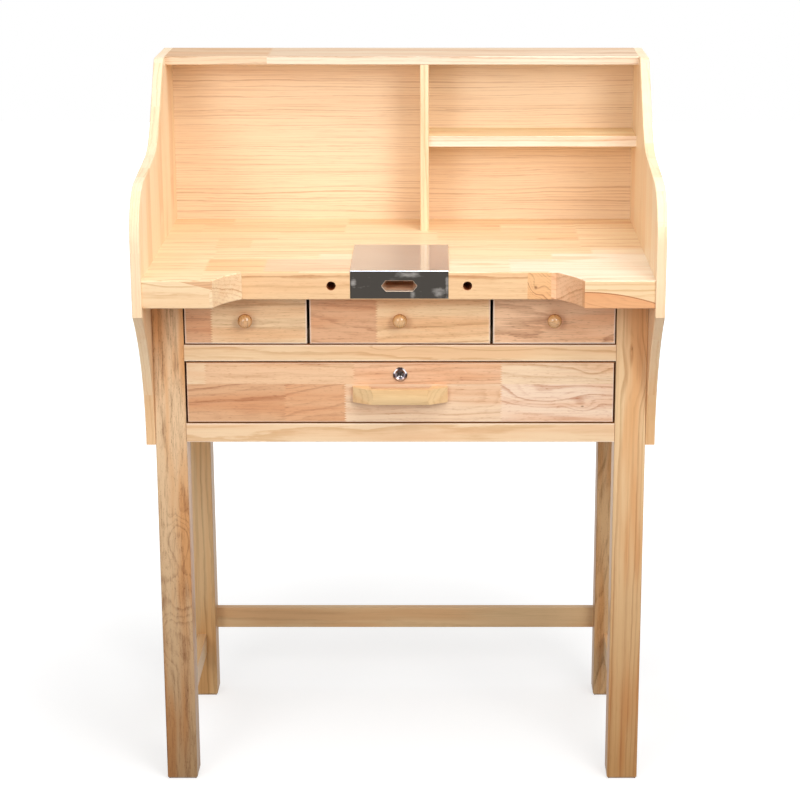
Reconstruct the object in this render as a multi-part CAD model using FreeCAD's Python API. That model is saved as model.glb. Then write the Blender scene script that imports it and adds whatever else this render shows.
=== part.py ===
import FreeCAD, Part
import math
import os

# Jewelers bench: four legs and stretchers carry a thick worktop with a belly cut-out and a
# let-in steel bench plate. Two shaped side panels rise past the worktop and hold a gallery.
# Three small drawers and one wide, lockable drawer slide in the carcass under the top.
# Millimetres. X runs across the bench, -Y is the sitter's side, Z is up.
# The origin is on the floor, under the middle of the bench.

V = FreeCAD.Vector

# ---- driving dimensions: overall -------------------------------------------------------------
bench_width = 800.0          # over the two side panels
bench_depth = 500.0          # side panel front edge to gallery back
bench_height = 1148.0        # floor to the top board
worktop_height = 860.0       # floor to the working surface
worktop_thickness = 43.0
worktop_setback = 4.0        # worktop front edge behind the side panels' front edge

# ---- legs and stretchers ---------------------------------------------------------------------
leg_size = 49.0
leg_setback = 106.0          # front legs' front face behind the side panels' front edge
leg_arris = 2.0
foot_chamfer = 3.5
stretcher_height = 37.0
stretcher_thickness = 15.0
rear_stretcher_level = 118.0   # underside above the floor
side_stretcher_level = 81.0
rear_stretcher_inset = 2.0   # rear stretcher's back face inside the rear legs' back face
tenon_length = 20.0
tenon_shoulder = 5.0
tenon_clearance = 0.2
mortise_end_gap = 1.0
cut_overrun = 1.0            # how far a cut runs out past the face it opens

# ---- side panels -----------------------------------------------------------------------------
panel_thickness = 15.0
panel_bottom = 573.0
panel_corner_height = 804.0  # where the straight front edge ends and the lower sweep starts
shoulder_front_height = 990.0
shoulder_rear_height = 1018.0
shoulder_rear_depth = 252.0  # foot of the gallery slope, behind the front edge
gallery_nose_depth = 360.0   # top front corner, behind the front edge
shoulder_radius = 80.0
scoop_radius = 116.0
nose_radius = 19.0
panel_arris = 1.5

# ---- worktop cut-outs ------------------------------------------------------------------------
belly_depth = 60.0           # belly cut-out behind the worktop's front edge
belly_half_width = 239.0     # at the back of the cut-out
belly_mouth_half_width = 279.0
belly_end_bow = 5.0          # how far the cut-out's curved ends bow outwards
worktop_arris = 2.0
peg_hole_radius = 7.0
peg_hole_depth = 45.0
peg_hole_spacing = 208.0

# ---- steel bench plate -----------------------------------------------------------------------
plate_width = 150.0
plate_length = 196.0
plate_thickness = 8.0
plate_proud = 2.0            # plate's face above the worktop
plate_reveal = 1.8           # wood left under the front leaf
plate_seam = 0.2
plate_arris = 0.8
pin_slot_width = 54.0        # between the slot's two pointed ends
pin_slot_flat = 41.0         # straight part of its upper and lower edges
pin_slot_height = 15.5
pin_slot_rounding = 2.0
pin_socket_depth = 60.0      # mortise in the wood behind the slot
plate_screw_radius = 3.0
plate_screw_grip = 5.5
plate_screw_head_radius = 6.0
plate_screw_head_height = 4.0
plate_screw_counterbore = 10.0
plate_screw_side_margin = 25.0
plate_screw_front_margin = 46.0
plate_screw_rear_margin = 30.0
screw_clearance = 0.2
thread_clearance = 0.05

# ---- gallery ---------------------------------------------------------------------------------
board_thickness = 14.0
shelf_thickness = 18.0
gallery_depth = 116.0        # top board and divider, from the bench's back
shelf_setback = 10.0         # shelf's front edge behind the divider's
back_thickness = 15.0
divider_offset = 36.5        # divider's middle, right of the bench's middle
upper_bay_height = 118.0     # clear height over the shelf
housing_depth = 4.0
housing_clearance = 0.1
dowel_radius = 3.0
dowel_length = 24.0
dowel_clearance = 0.1
dowel_margin = 25.0
divider_screw_shares = (0.2, 0.85)   # of the divider's height
shelf_screw_shares = (0.25, 0.75)    # of the shelf's width

# ---- carcass ---------------------------------------------------------------------------------
drawer_gap = 2.0
small_front_height = 78.0
large_front_height = 97.0
middle_rail_height = 26.0
middle_rail_thickness = 25.0
bottom_rail_height = 30.5
bottom_rail_thickness = 22.0
rail_arris = 1.0
deck_thickness = 12.0
deck_tongue = 6.0
bearer_width = 24.0
bearer_height = 30.0
runner_width = 36.0
runner_height = 18.0
guide_height = 20.0
slide_clearance = 1.0        # between a drawer side and its guide
lift_clearance = 0.5         # between a drawer side and what it slides on
stop_length = 40.0
stop_height = 20.0
stop_depth = 23.5            # room for the stops between the drawers and the rear apron
stop_gap = 0.5
apron_thickness = 15.0
apron_inset = 5.0
apron_tongue = 10.0

# ---- drawers ---------------------------------------------------------------------------------
front_thickness = 18.0
front_arris = 1.2
middle_drawer_width = 280.0
front_between_gap = 4.4
small_side_thickness = 12.0
large_side_thickness = 14.0
small_side_inset = 10.0      # box side inside the front's end
large_side_inset = 9.0
small_side_drop = 11.5       # sides' upper edge below the front's
large_side_drop = 18.5
back_board_thickness = 12.0
bottom_thickness = 5.0
bottom_lift = 8.0            # drawer bottom above the sides' lower edge
bottom_groove = 5.0
groove_clearance = 0.1
front_housing = 6.0

# ---- knobs and pull --------------------------------------------------------------------------
knob_radius = 11.2           # at the rim of the head
knob_rim_out = 11.8          # distances "out" are from the drawer front
knob_foot_radius = 7.5
knob_waist_radius = 6.0
knob_waist_out = 4.5
knob_head_radius = 9.0       # where the neck runs into the head
knob_head_out = 8.0
knob_crown_radius = 9.6
knob_crown_out = 15.4
knob_projection = 20.0
knob_screw_radius = 2.0
knob_screw_bite = 10.0
pull_length = 148.0
pull_height = 24.0
pull_drop = 1.5              # pull's middle below the middle of its drawer front
pull_projection = 26.0
pull_end_thickness = 8.0
pull_end_arris = 1.2
pull_crest_half = 42.0       # half the distance between the two ramps
pull_barrel = 2.0            # how far the grip's front is rounded back at its edges
pull_finger_gap = 15.0
pull_pad_length = 24.0
pull_pad_slope = 6.0         # how far each end of the finger gap leans inwards
pull_screw_bite = 4.0
small_head_radius = 4.0
small_head_height = 2.4

# ---- lock ------------------------------------------------------------------------------------
lock_drop = 19.0             # lock's axis below the large front's upper edge
lock_bezel_radius = 11.2
lock_bezel_height = 2.6
lock_bezel_chamfer = 1.0
lock_barrel_radius = 9.2
lock_barrel_clearance = 0.3
lock_barrel_tail = 10.0      # barrel behind the drawer front
lock_nut_radius = 13.5
lock_nut_height = 4.0
lock_plug_radius = 5.6
lock_plug_clearance = 0.05
lock_dish_radius = 8.6
lock_dish_depth = 1.6
keyway_height = 7.0
keyway_width = 1.8
keyway_depth = 8.0
cam_reach = 28.0
cam_width = 12.0
cam_thickness = 2.5
cam_square = 6.0
cam_clearance = 0.1
cam_axial_gap = 0.2
cam_screw_radius = 1.6
cam_screw_head_radius = 3.6
cam_screw_head_height = 1.8
cam_screw_length = 6.0       # under its head

# ---- wood screws and plugs -------------------------------------------------------------------
wood_screw_radius = 2.0
wood_screw_length = 38.0
wood_screw_head_radius = 4.0
wood_screw_head_height = 2.5
plug_radius = 5.0
plug_thickness = 3.5
plug_clearance = 0.1
back_screw_length = 34.0
panel_screw_margin = 40.0    # panel screws from the lower and upper edge of the carcass
worktop_screw_margin = 66.0
recess_reach_share = 0.55    # cross recess of a screw head, as shares of the head's size
recess_width_share = 0.25
recess_depth_share = 0.5

# ---- planes worked out from the driving dimensions --------------------------------------------
front_y = -bench_depth / 2
back_y = bench_depth / 2
panel_inner_x = bench_width / 2 - panel_thickness
leg_inner_x = panel_inner_x - leg_size
carcass_front_y = front_y + leg_setback
leg_front_back_y = carcass_front_y + leg_size
leg_rear_front_y = back_y - leg_size
worktop_front_y = front_y + worktop_setback
worktop_underside = worktop_height - worktop_thickness
worktop_middle = worktop_height - worktop_thickness / 2
belly_y = worktop_front_y + belly_depth

small_top = worktop_underside - drawer_gap
small_bottom = small_top - small_front_height
middle_rail_top = small_bottom - drawer_gap
middle_rail_bottom = middle_rail_top - middle_rail_height
large_top = middle_rail_bottom - drawer_gap
large_bottom = large_top - large_front_height
bottom_rail_top = large_bottom - drawer_gap
bottom_rail_bottom = bottom_rail_top - bottom_rail_height

apron_back_y = back_y - apron_inset
apron_front_y = apron_back_y - apron_thickness
front_back_y = carcass_front_y + front_thickness
drawer_rear_y = apron_front_y - stop_depth - stop_gap

gallery_front_y = back_y - gallery_depth
gallery_back_y = back_y - back_thickness
top_board_underside = bench_height - board_thickness
divider_left = divider_offset - board_thickness / 2
divider_right = divider_offset + board_thickness / 2
shelf_top = top_board_underside - upper_bay_height
shelf_underside = shelf_top - shelf_thickness
shelf_front_y = gallery_front_y + shelf_setback

small_outer_x = leg_inner_x - drawer_gap
small_inner_x = middle_drawer_width / 2 + front_between_gap
lock_z = large_top - lock_drop
pull_z = (large_top + large_bottom) / 2 - pull_drop


# ---- small helpers ---------------------------------------------------------------------------
def block(x0, x1, y0, y1, z0, z1):
    """A square-edged board between two opposite corners."""
    return Part.makeBox(x1 - x0, y1 - y0, z1 - z0, V(x0, y0, z0))


def grown(x0, x1, y0, y1, z0, z1, gap):
    """The same board, larger by a clearance on every side: used to cut its seat."""
    return block(x0 - gap, x1 + gap, y0 - gap, y1 + gap, z0 - gap, z1 + gap)


def rod(radius, start, direction, length):
    return Part.makeCylinder(radius, length, start, direction)


def save(name, *solids):
    shape = solids[0] if len(solids) == 1 else Part.makeCompound(list(solids))
    shape.exportStep("parts/" + name + ".step")


def runs_along(edge, direction):
    """True for a straight edge parallel to the given axis."""
    if not isinstance(edge.Curve, Part.Line):
        return False
    return abs(abs(edge.tangentAt(edge.FirstParameter).dot(direction)) - 1.0) < 1e-6


def eased(solid, radius, direction):
    """Round the arrises that run along one axis."""
    return solid.makeFillet(radius, [e for e in solid.Edges if runs_along(e, direction)])


def lies_at(edge, axis, value):
    """True for an edge that lies wholly in the plane axis = value."""
    low = getattr(edge.BoundBox, axis + "Min")
    high = getattr(edge.BoundBox, axis + "Max")
    return abs(low - value) < 1e-4 and abs(high - value) < 1e-4


def chamfered(solid, size, axis, value):
    """Chamfer the edges that lie in one plane."""
    return solid.makeChamfer(size, [e for e in solid.Edges if lies_at(e, axis, value)])


def corner_arc(before, corner, after, radius):
    """The tangent arc that rounds one corner of an outline: its two ends and its middle."""
    along_in = (before - corner).normalize()
    along_out = (after - corner).normalize()
    half_angle = along_in.getAngle(along_out) / 2
    reach = radius / math.tan(half_angle)
    start = corner + along_in * reach
    end = corner + along_out * reach
    inward = (along_in + along_out).normalize()
    middle = corner + inward * (radius / math.sin(half_angle) - radius)
    return start, middle, end


def pin_bar(y0, y1):
    """A long hexagon drawn along Y: the shape of the bench pin's slot and socket."""
    tip = pin_slot_width / 2
    flat = pin_slot_flat / 2
    rise = pin_slot_height / 2
    corners = [(tip, 0), (flat, rise), (-flat, rise), (-tip, 0), (-flat, -rise), (flat, -rise)]
    points = [V(x, y0, worktop_middle + z) for x, z in corners + corners[:1]]
    bar = Part.Face(Part.makePolygon(points)).extrude(V(0, y1 - y0, 0))
    return eased(bar, pin_slot_rounding, V(0, 1, 0))


# ---- legs, stretchers and rails ---------------------------------------------------------------
def x_tenons(y0, y1, z0, z1, length, gap=0.0, end_gap=0.0):
    """Both end tenons of a rail that runs between two legs, or their mortises with a gap."""
    reach = leg_inner_x + length + end_gap
    low_z = z0 + tenon_shoulder - gap
    high_z = z1 - tenon_shoulder + gap
    quarter = (y1 - y0) / 4
    return block(-reach, reach, y0 + quarter - gap, y1 - quarter + gap, low_z, high_z)


def cross_rail(y0, y1, z0, z1, length=tenon_length):
    """A rail across the bench, shouldered against the legs' inner faces."""
    body = block(-leg_inner_x, leg_inner_x, y0, y1, z0, z1)
    body = eased(body, rail_arris, V(1, 0, 0))
    return body.fuse(x_tenons(y0, y1, z0, z1, length)).removeSplitter()


rear_stretcher_y1 = back_y - rear_stretcher_inset
rear_stretcher_y0 = rear_stretcher_y1 - stretcher_thickness
side_stretcher_x = panel_inner_x - leg_size / 2
side_stretcher_top = side_stretcher_level + stretcher_height

# each rail: its Y and Z faces and the length of its tenons
middle_rail_span = (carcass_front_y, carcass_front_y + middle_rail_thickness,
                    middle_rail_bottom, middle_rail_top, tenon_length)
bottom_rail_span = (carcass_front_y, carcass_front_y + bottom_rail_thickness,
                    bottom_rail_bottom, bottom_rail_top, tenon_length)
rear_stretcher_span = (rear_stretcher_y0, rear_stretcher_y1, rear_stretcher_level,
                       rear_stretcher_level + stretcher_height, tenon_length)
apron_span = (apron_front_y, apron_back_y, bottom_rail_bottom, worktop_underside, apron_tongue)


def side_stretcher(side):
    """A stretcher from front leg to rear leg, with a tenon at each end."""
    x = side * side_stretcher_x
    half = stretcher_thickness / 2
    body = block(x - half, x + half, leg_front_back_y, leg_rear_front_y,
                 side_stretcher_level, side_stretcher_top)
    body = eased(body, rail_arris, V(0, 1, 0))
    return body.fuse(side_tenons(side)).removeSplitter()


def side_tenons(side, gap=0.0, end_gap=0.0):
    """The tenons of a side stretcher, or their mortises with a gap."""
    x = side * side_stretcher_x
    quarter = stretcher_thickness / 4
    reach = tenon_length + end_gap
    return block(x - quarter - gap, x + quarter + gap, leg_front_back_y - reach,
                 leg_rear_front_y + reach, side_stretcher_level + tenon_shoulder - gap,
                 side_stretcher_top - tenon_shoulder + gap)


def leg(side, y0, spans):
    """A square leg with eased arrises, chamfered foot and the mortises of its rails."""
    x0 = min(side * panel_inner_x, side * leg_inner_x)
    post = block(x0, x0 + leg_size, y0, y0 + leg_size, 0, worktop_underside)
    post = eased(post, leg_arris, V(0, 0, 1))
    post = chamfered(post, foot_chamfer, "Z", 0)
    cuts = [x_tenons(*span, gap=tenon_clearance, end_gap=mortise_end_gap) for span in spans]
    cuts.append(side_tenons(side, tenon_clearance, mortise_end_gap))
    cuts += [hole for hole in panel_screw_holes() if hole.BoundBox.intersect(post.BoundBox)]
    return post.cut(cuts)


# ---- side panels ------------------------------------------------------------------------------
def panel_outline():
    """Outline of a side panel in the YZ plane, from the lower back corner upwards."""
    shoulder = V(0, front_y, shoulder_front_height)
    scoop = V(0, front_y + shoulder_rear_depth, shoulder_rear_height)
    nose = V(0, front_y + gallery_nose_depth, bench_height)
    back_top = V(0, back_y, bench_height)
    back_foot = V(0, back_y, panel_bottom)
    front_foot = V(0, carcass_front_y, panel_bottom)
    front_corner = V(0, front_y, panel_corner_height)

    nose_arc = corner_arc(back_top, nose, scoop, nose_radius)
    scoop_arc = corner_arc(nose, scoop, shoulder, scoop_radius)
    shoulder_arc = corner_arc(scoop, shoulder, front_corner, shoulder_radius)

    # the lower sweep is a circular arc, upright where it meets the front leg
    rise = panel_corner_height - panel_bottom
    sweep_radius = (leg_setback ** 2 + rise ** 2) / (2 * leg_setback)
    half_turn = math.asin(rise / sweep_radius) / 2
    sweep_middle = V(0, carcass_front_y - sweep_radius * (1 - math.cos(half_turn)),
                     panel_bottom + sweep_radius * math.sin(half_turn))

    edges = [
        Part.LineSegment(back_foot, back_top),
        Part.LineSegment(back_top, nose_arc[0]),
        Part.Arc(*nose_arc),
        Part.LineSegment(nose_arc[2], scoop_arc[0]),
        Part.Arc(*scoop_arc),
        Part.LineSegment(scoop_arc[2], shoulder_arc[0]),
        Part.Arc(*shoulder_arc),
        Part.LineSegment(shoulder_arc[2], front_corner),
        Part.Arc(front_corner, sweep_middle, front_foot),
        Part.LineSegment(front_foot, back_foot),
    ]
    return Part.Wire([edge.toShape() for edge in edges])


def side_panel(side):
    """A shaped side panel, bored for its screws and, on the right, housed for the shelf."""
    inner_x = side * panel_inner_x
    panel = Part.Face(panel_outline()).extrude(V(side * panel_thickness, 0, 0))
    panel.translate(V(inner_x, 0, 0))
    rim = [e for e in panel.Edges if not runs_along(e, V(1, 0, 0))
           and e.BoundBox.YMin < back_y - panel_arris and e.BoundBox.ZMax > panel_bottom + panel_arris]
    panel = panel.makeFillet(panel_arris, rim)
    cuts = [hole for hole in panel_screw_holes() if hole.BoundBox.intersect(panel.BoundBox)]
    if side > 0:
        cuts.append(shelf_board(housing_clearance))
    return panel.cut(cuts)


# ---- panel screws and plugs --------------------------------------------------------------------
def panel_screw_places():
    """(y, z) of the screws through each side panel: into both legs, the worktop and top board."""
    leg_levels = (bottom_rail_bottom + panel_screw_margin, worktop_underside - panel_screw_margin)
    leg_middles = (carcass_front_y + leg_size / 2, back_y - leg_size / 2)
    into_legs = [(y, z) for y in leg_middles for z in leg_levels]
    worktop_rows = (worktop_front_y + worktop_screw_margin, back_y - worktop_screw_margin)
    into_worktop = [(y, worktop_middle) for y in worktop_rows]
    into_top_board = [(back_y - gallery_depth / 2, bench_height - board_thickness / 2)]
    return into_legs + into_worktop + into_top_board


plug_face_x = bench_width / 2
head_seat_x = plug_face_x - plug_thickness


def panel_screw_holes():
    """Stepped holes through both side panels and on into what they hold."""
    holes = []
    for side in (-1, 1):
        for y, z in panel_screw_places():
            mouth = V(side * plug_face_x, y, z)
            inward = V(-side, 0, 0)
            wide = rod(plug_radius + plug_clearance, mouth, inward,
                       plug_thickness + wood_screw_head_height + screw_clearance)
            shaft = rod(wood_screw_radius + screw_clearance, mouth, inward,
                        plug_thickness + wood_screw_length + mortise_end_gap)
            holes.append(wide.fuse(shaft))
    return holes


def wood_screw(seat, direction, length, radius, head_radius, head_height):
    """A pan-headed screw: seat is the outer middle of the head, with a cross recess."""
    upright = V(0, 0, 1)
    across = direction.cross(upright)
    head = rod(head_radius, seat, direction, head_height)
    shank = rod(radius, seat, direction, length)
    reach = upright * (2 * head_radius * recess_reach_share)
    width = across * (2 * head_height * recess_width_share)
    start = seat - reach * 0.5 - width * 0.5 - direction * cut_overrun
    outline = Part.makePolygon([start, start + reach, start + reach + width, start + width, start])
    depth = cut_overrun + head_height * recess_depth_share
    blade = Part.Face(outline).extrude(direction * depth)
    turned = blade.copy()
    turned.rotate(seat, direction, 90)
    return head.fuse(shank).removeSplitter().cut([blade, turned])


def panel_screws():
    return [wood_screw(V(side * head_seat_x, y, z), V(-side, 0, 0), wood_screw_length,
                       wood_screw_radius, wood_screw_head_radius, wood_screw_head_height)
            for side in (-1, 1) for y, z in panel_screw_places()]


def panel_plugs():
    return [rod(plug_radius, V(side * plug_face_x, y, z), V(-side, 0, 0), plug_thickness)
            for side in (-1, 1) for y, z in panel_screw_places()]


# ---- steel bench plate --------------------------------------------------------------------------
plate_front_y = belly_y
plate_bottom = worktop_underside + plate_reveal
plate_top = worktop_height + plate_proud
plate_underside = plate_top - plate_thickness
plate_half = plate_width / 2


def plate_screw_places():
    rows = (plate_front_y + plate_screw_front_margin,
            plate_front_y + plate_length - plate_screw_rear_margin)
    x = plate_half - plate_screw_side_margin
    return [(side * x, y) for side in (-1, 1) for y in rows]


def bench_plate():
    """A steel saddle: a thick top leaf and a front leaf with the slot for the bench pin."""
    rear_y = plate_front_y + plate_length
    top_leaf = block(-plate_half, plate_half, plate_front_y, rear_y,
                     plate_underside, plate_top)
    front_leaf = block(-plate_half, plate_half, plate_front_y, plate_front_y + plate_thickness,
                       plate_bottom, plate_top)
    saddle = top_leaf.fuse(front_leaf).removeSplitter()
    nose = [e for e in saddle.Edges
            if lies_at(e, "Y", plate_front_y) and lies_at(e, "Z", plate_top)]
    saddle = saddle.makeChamfer(plate_arris, nose)
    saddle = saddle.cut(pin_bar(plate_front_y - cut_overrun,
                                plate_front_y + plate_thickness + cut_overrun))
    reach_x = (pin_slot_width + plate_arris) / 2
    reach_z = (pin_slot_height + plate_arris) / 2
    rim = [e for e in saddle.Edges if lies_at(e, "Y", plate_front_y)
           and e.BoundBox.XMax < reach_x and e.BoundBox.XMin > -reach_x
           and e.BoundBox.ZMax < worktop_middle + reach_z
           and e.BoundBox.ZMin > worktop_middle - reach_z]
    saddle = saddle.makeChamfer(plate_arris, rim)
    taps = [rod(plate_screw_radius, V(x, y, plate_underside - cut_overrun), V(0, 0, 1),
                plate_screw_grip + cut_overrun) for x, y in plate_screw_places()]
    return saddle.cut(taps)


def bench_plate_seat():
    """Everything the plate and its pin need cut out of the worktop."""
    seam = plate_seam
    rear_y = plate_front_y + plate_length + seam
    half = plate_half + seam
    front_leaf_rear_y = plate_front_y + plate_thickness + seam
    pocket = block(-half, half, worktop_front_y - cut_overrun, rear_y,
                   plate_underside - seam, worktop_height + cut_overrun)
    rebate = block(-half, half, worktop_front_y - cut_overrun, front_leaf_rear_y,
                   plate_bottom - seam, worktop_height + cut_overrun)
    socket = pin_bar(plate_front_y, plate_front_y + plate_thickness + pin_socket_depth)
    cuts = [pocket, rebate, socket]
    for x, y in plate_screw_places():
        start = V(x, y, worktop_underside - cut_overrun)
        cuts.append(rod(plate_screw_radius + screw_clearance, start, V(0, 0, 1),
                        worktop_thickness))
        cuts.append(rod(plate_screw_head_radius + screw_clearance, start, V(0, 0, 1),
                        plate_screw_counterbore + cut_overrun))
    return cuts


def bench_plate_screws():
    """Machine screws from below the worktop into the plate's top leaf."""
    seat_z = worktop_underside + plate_screw_counterbore - plate_screw_head_height
    length = plate_underside + plate_screw_grip - screw_clearance - seat_z
    return [rod(plate_screw_radius - thread_clearance, V(x, y, seat_z), V(0, 0, 1), length)
            .fuse(rod(plate_screw_head_radius, V(x, y, seat_z), V(0, 0, 1),
                      plate_screw_head_height)).removeSplitter()
            for x, y in plate_screw_places()]


# ---- worktop ------------------------------------------------------------------------------------
def belly_cut():
    """The belly cut-out: straight at the back, with ends that curve out to the front edge."""
    z = worktop_underside - cut_overrun
    mouth_y = worktop_front_y
    lip_y = mouth_y - cut_overrun
    chord = V(belly_mouth_half_width - belly_half_width, mouth_y - belly_y, 0)
    bow_way = V(-chord.y, chord.x, 0).normalize()
    edges = []
    for side in (1, -1):
        inner = V(side * belly_half_width, belly_y, z)
        outer = V(side * belly_mouth_half_width, mouth_y, z)
        bow = V(side * bow_way.x, bow_way.y, 0) * belly_end_bow
        middle = (inner + outer) * 0.5 + bow
        lip = V(side * belly_mouth_half_width, lip_y, z)
        edges.append(Part.Arc(inner, middle, outer).toShape())
        edges.append(Part.LineSegment(outer, lip).toShape())
    back_edge = Part.LineSegment(V(-belly_half_width, belly_y, z),
                                 V(belly_half_width, belly_y, z)).toShape()
    lip_edge = Part.LineSegment(V(-belly_mouth_half_width, lip_y, z),
                                V(belly_mouth_half_width, lip_y, z)).toShape()
    outline = Part.Wire(Part.__sortEdges__(edges + [back_edge, lip_edge]))
    return Part.Face(outline).extrude(V(0, 0, worktop_thickness + 2 * cut_overrun))


def worktop():
    slab = block(-panel_inner_x, panel_inner_x, worktop_front_y, back_y,
                 worktop_underside, worktop_height)
    slab = slab.cut(belly_cut())
    front_edges = [e for e in slab.Edges if e.BoundBox.YMax < belly_y + worktop_arris
                   and (lies_at(e, "Z", worktop_height) or lies_at(e, "Z", worktop_underside))]
    slab = slab.makeFillet(worktop_arris, front_edges)
    cuts = bench_plate_seat()
    for side in (-1, 1):
        mouth = V(side * peg_hole_spacing / 2, belly_y - cut_overrun, worktop_middle)
        cuts.append(rod(peg_hole_radius, mouth, V(0, 1, 0), peg_hole_depth + cut_overrun))
    cuts += [hole for hole in panel_screw_holes() if hole.BoundBox.intersect(slab.BoundBox)]
    cuts += dowels(dowel_clearance)
    return slab.cut(cuts)


# ---- gallery ------------------------------------------------------------------------------------
def dowels(gap=0.0):
    """Dowels that pin the divider to the worktop below and the top board above."""
    rows = (gallery_front_y + dowel_margin, gallery_back_y - dowel_margin)
    top_reach = board_thickness / 2
    pins = []
    for y in rows:
        low = V(divider_offset, y, worktop_height - dowel_length / 2 - gap)
        pins.append(rod(dowel_radius + gap, low, V(0, 0, 1), dowel_length + 2 * gap))
        high = V(divider_offset, y, top_board_underside + top_reach - dowel_length - gap)
        pins.append(rod(dowel_radius + gap, high, V(0, 0, 1), dowel_length + 2 * gap))
    return pins


def shelf_board(gap=0.0):
    """The shelf with its two ends let into the divider and the right side panel."""
    return block(divider_right - housing_depth - gap, panel_inner_x + housing_depth + gap,
                 shelf_front_y - gap, gallery_back_y, shelf_underside - gap, shelf_top + gap)


def top_board():
    board = block(-panel_inner_x, panel_inner_x, gallery_front_y, back_y,
                  top_board_underside, bench_height)
    nose = [e for e in board.Edges if lies_at(e, "Y", gallery_front_y) and runs_along(e, V(1, 0, 0))]
    board = board.makeFillet(panel_arris, nose)
    cuts = [hole for hole in panel_screw_holes() if hole.BoundBox.intersect(board.BoundBox)]
    return board.cut(cuts + dowels(dowel_clearance))


def divider():
    board = block(divider_left, divider_right, gallery_front_y, gallery_back_y,
                  worktop_height, top_board_underside)
    nose = [e for e in board.Edges if lies_at(e, "Y", gallery_front_y) and runs_along(e, V(0, 0, 1))]
    board = board.makeFillet(panel_arris, nose)
    return board.cut(dowels(dowel_clearance) + [shelf_board(housing_clearance)] + back_screw_holes())


def shelf():
    board = shelf_board()
    nose = [e for e in board.Edges if lies_at(e, "Y", shelf_front_y) and runs_along(e, V(1, 0, 0))]
    return board.makeFillet(panel_arris, nose).cut(back_screw_holes())


def gallery_back():
    board = block(-panel_inner_x, panel_inner_x, gallery_back_y, back_y,
                  worktop_height, top_board_underside)
    return board.cut(back_screw_holes())


def back_screw_places():
    """(x, z) of the screws through the gallery's back, into the divider and the shelf."""
    divider_height = top_board_underside - worktop_height
    into_divider = [(divider_offset, worktop_height + divider_height * share)
                    for share in divider_screw_shares]
    bay = panel_inner_x - divider_right
    into_shelf = [(divider_right + bay * share, (shelf_top + shelf_underside) / 2)
                  for share in shelf_screw_shares]
    return into_divider + into_shelf


def back_screw_holes():
    holes = []
    for x, z in back_screw_places():
        start = V(x, back_y + cut_overrun, z)
        holes.append(rod(wood_screw_radius + screw_clearance, start, V(0, -1, 0),
                         cut_overrun + back_screw_length + mortise_end_gap))
        holes.append(rod(wood_screw_head_radius + screw_clearance, start, V(0, -1, 0),
                         cut_overrun + wood_screw_head_height))
    return holes


def back_screws():
    return [wood_screw(V(x, back_y, z), V(0, -1, 0), back_screw_length,
                       wood_screw_radius, wood_screw_head_radius, wood_screw_head_height)
            for x, z in back_screw_places()]


# ---- what the drawers run on ----------------------------------------------------------------------
deck_front_y = carcass_front_y + middle_rail_thickness - deck_tongue
deck_top = middle_rail_top
deck_underside = deck_top - deck_thickness
runner_top = bottom_rail_top
middle_rail_back_y = carcass_front_y + middle_rail_thickness
bottom_rail_back_y = carcass_front_y + bottom_rail_thickness


def drawer_deck(gap=0.0):
    """The board under the small drawers: its front edge is let into the middle rail."""
    return block(-leg_inner_x, leg_inner_x, deck_front_y - gap, apron_front_y,
                 deck_underside - gap, min(deck_top + gap, middle_rail_top))


def middle_rail():
    return cross_rail(*middle_rail_span).cut(drawer_deck(groove_clearance))


def deck_bearers():
    """Battens under the deck: they carry it and stop the wide drawer from tipping."""
    bars = []
    for side in (-1, 1):
        x0 = min(side * leg_inner_x, side * (leg_inner_x - bearer_width))
        bars.append(block(x0, x0 + bearer_width, middle_rail_back_y, apron_front_y,
                          deck_underside - bearer_height, deck_underside))
    return bars


def large_drawer_runners():
    """L-shaped runners: the wide drawer's sides slide on the foot and along the upright."""
    bars = []
    upright = large_side_inset + drawer_gap - slide_clearance
    for side in (-1, 1):
        foot_x = side * (leg_inner_x - runner_width)
        guide_x = side * (leg_inner_x - upright)
        outer_x = side * leg_inner_x
        foot = block(min(foot_x, outer_x), max(foot_x, outer_x), bottom_rail_back_y,
                     apron_front_y, runner_top - runner_height, runner_top)
        guide = block(min(guide_x, outer_x), max(guide_x, outer_x), bottom_rail_back_y,
                      apron_front_y, runner_top, runner_top + guide_height)
        bars.append(foot.fuse(guide).removeSplitter())
    return bars


def small_drawer_guides():
    """Strips on the deck that keep the small drawers apart and straight."""
    reach = small_side_inset - slide_clearance
    wall = middle_drawer_width / 2
    spans = [(-leg_inner_x, -small_outer_x + reach), (small_outer_x - reach, leg_inner_x),
             (-small_inner_x - reach, -wall + reach), (wall - reach, small_inner_x + reach)]
    return [block(x0, x1, middle_rail_back_y, apron_front_y,
                  deck_top, deck_top + guide_height) for x0, x1 in spans]


def drawer_stops():
    """Blocks on the rear apron that each drawer's back comes to rest against."""
    y0 = apron_front_y - stop_depth
    small_middle = (small_outer_x + small_inner_x) / 2
    half = stop_length / 2
    small = [block(x - half, x + half, y0, apron_front_y, deck_top, deck_top + stop_height)
             for x in (-small_middle, 0.0, small_middle)]
    level = runner_top + bottom_lift + stop_height
    large = [block(x - half, x + half, y0, apron_front_y, level, level + stop_height)
             for x in (-small_middle, small_middle)]
    return small + large


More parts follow.
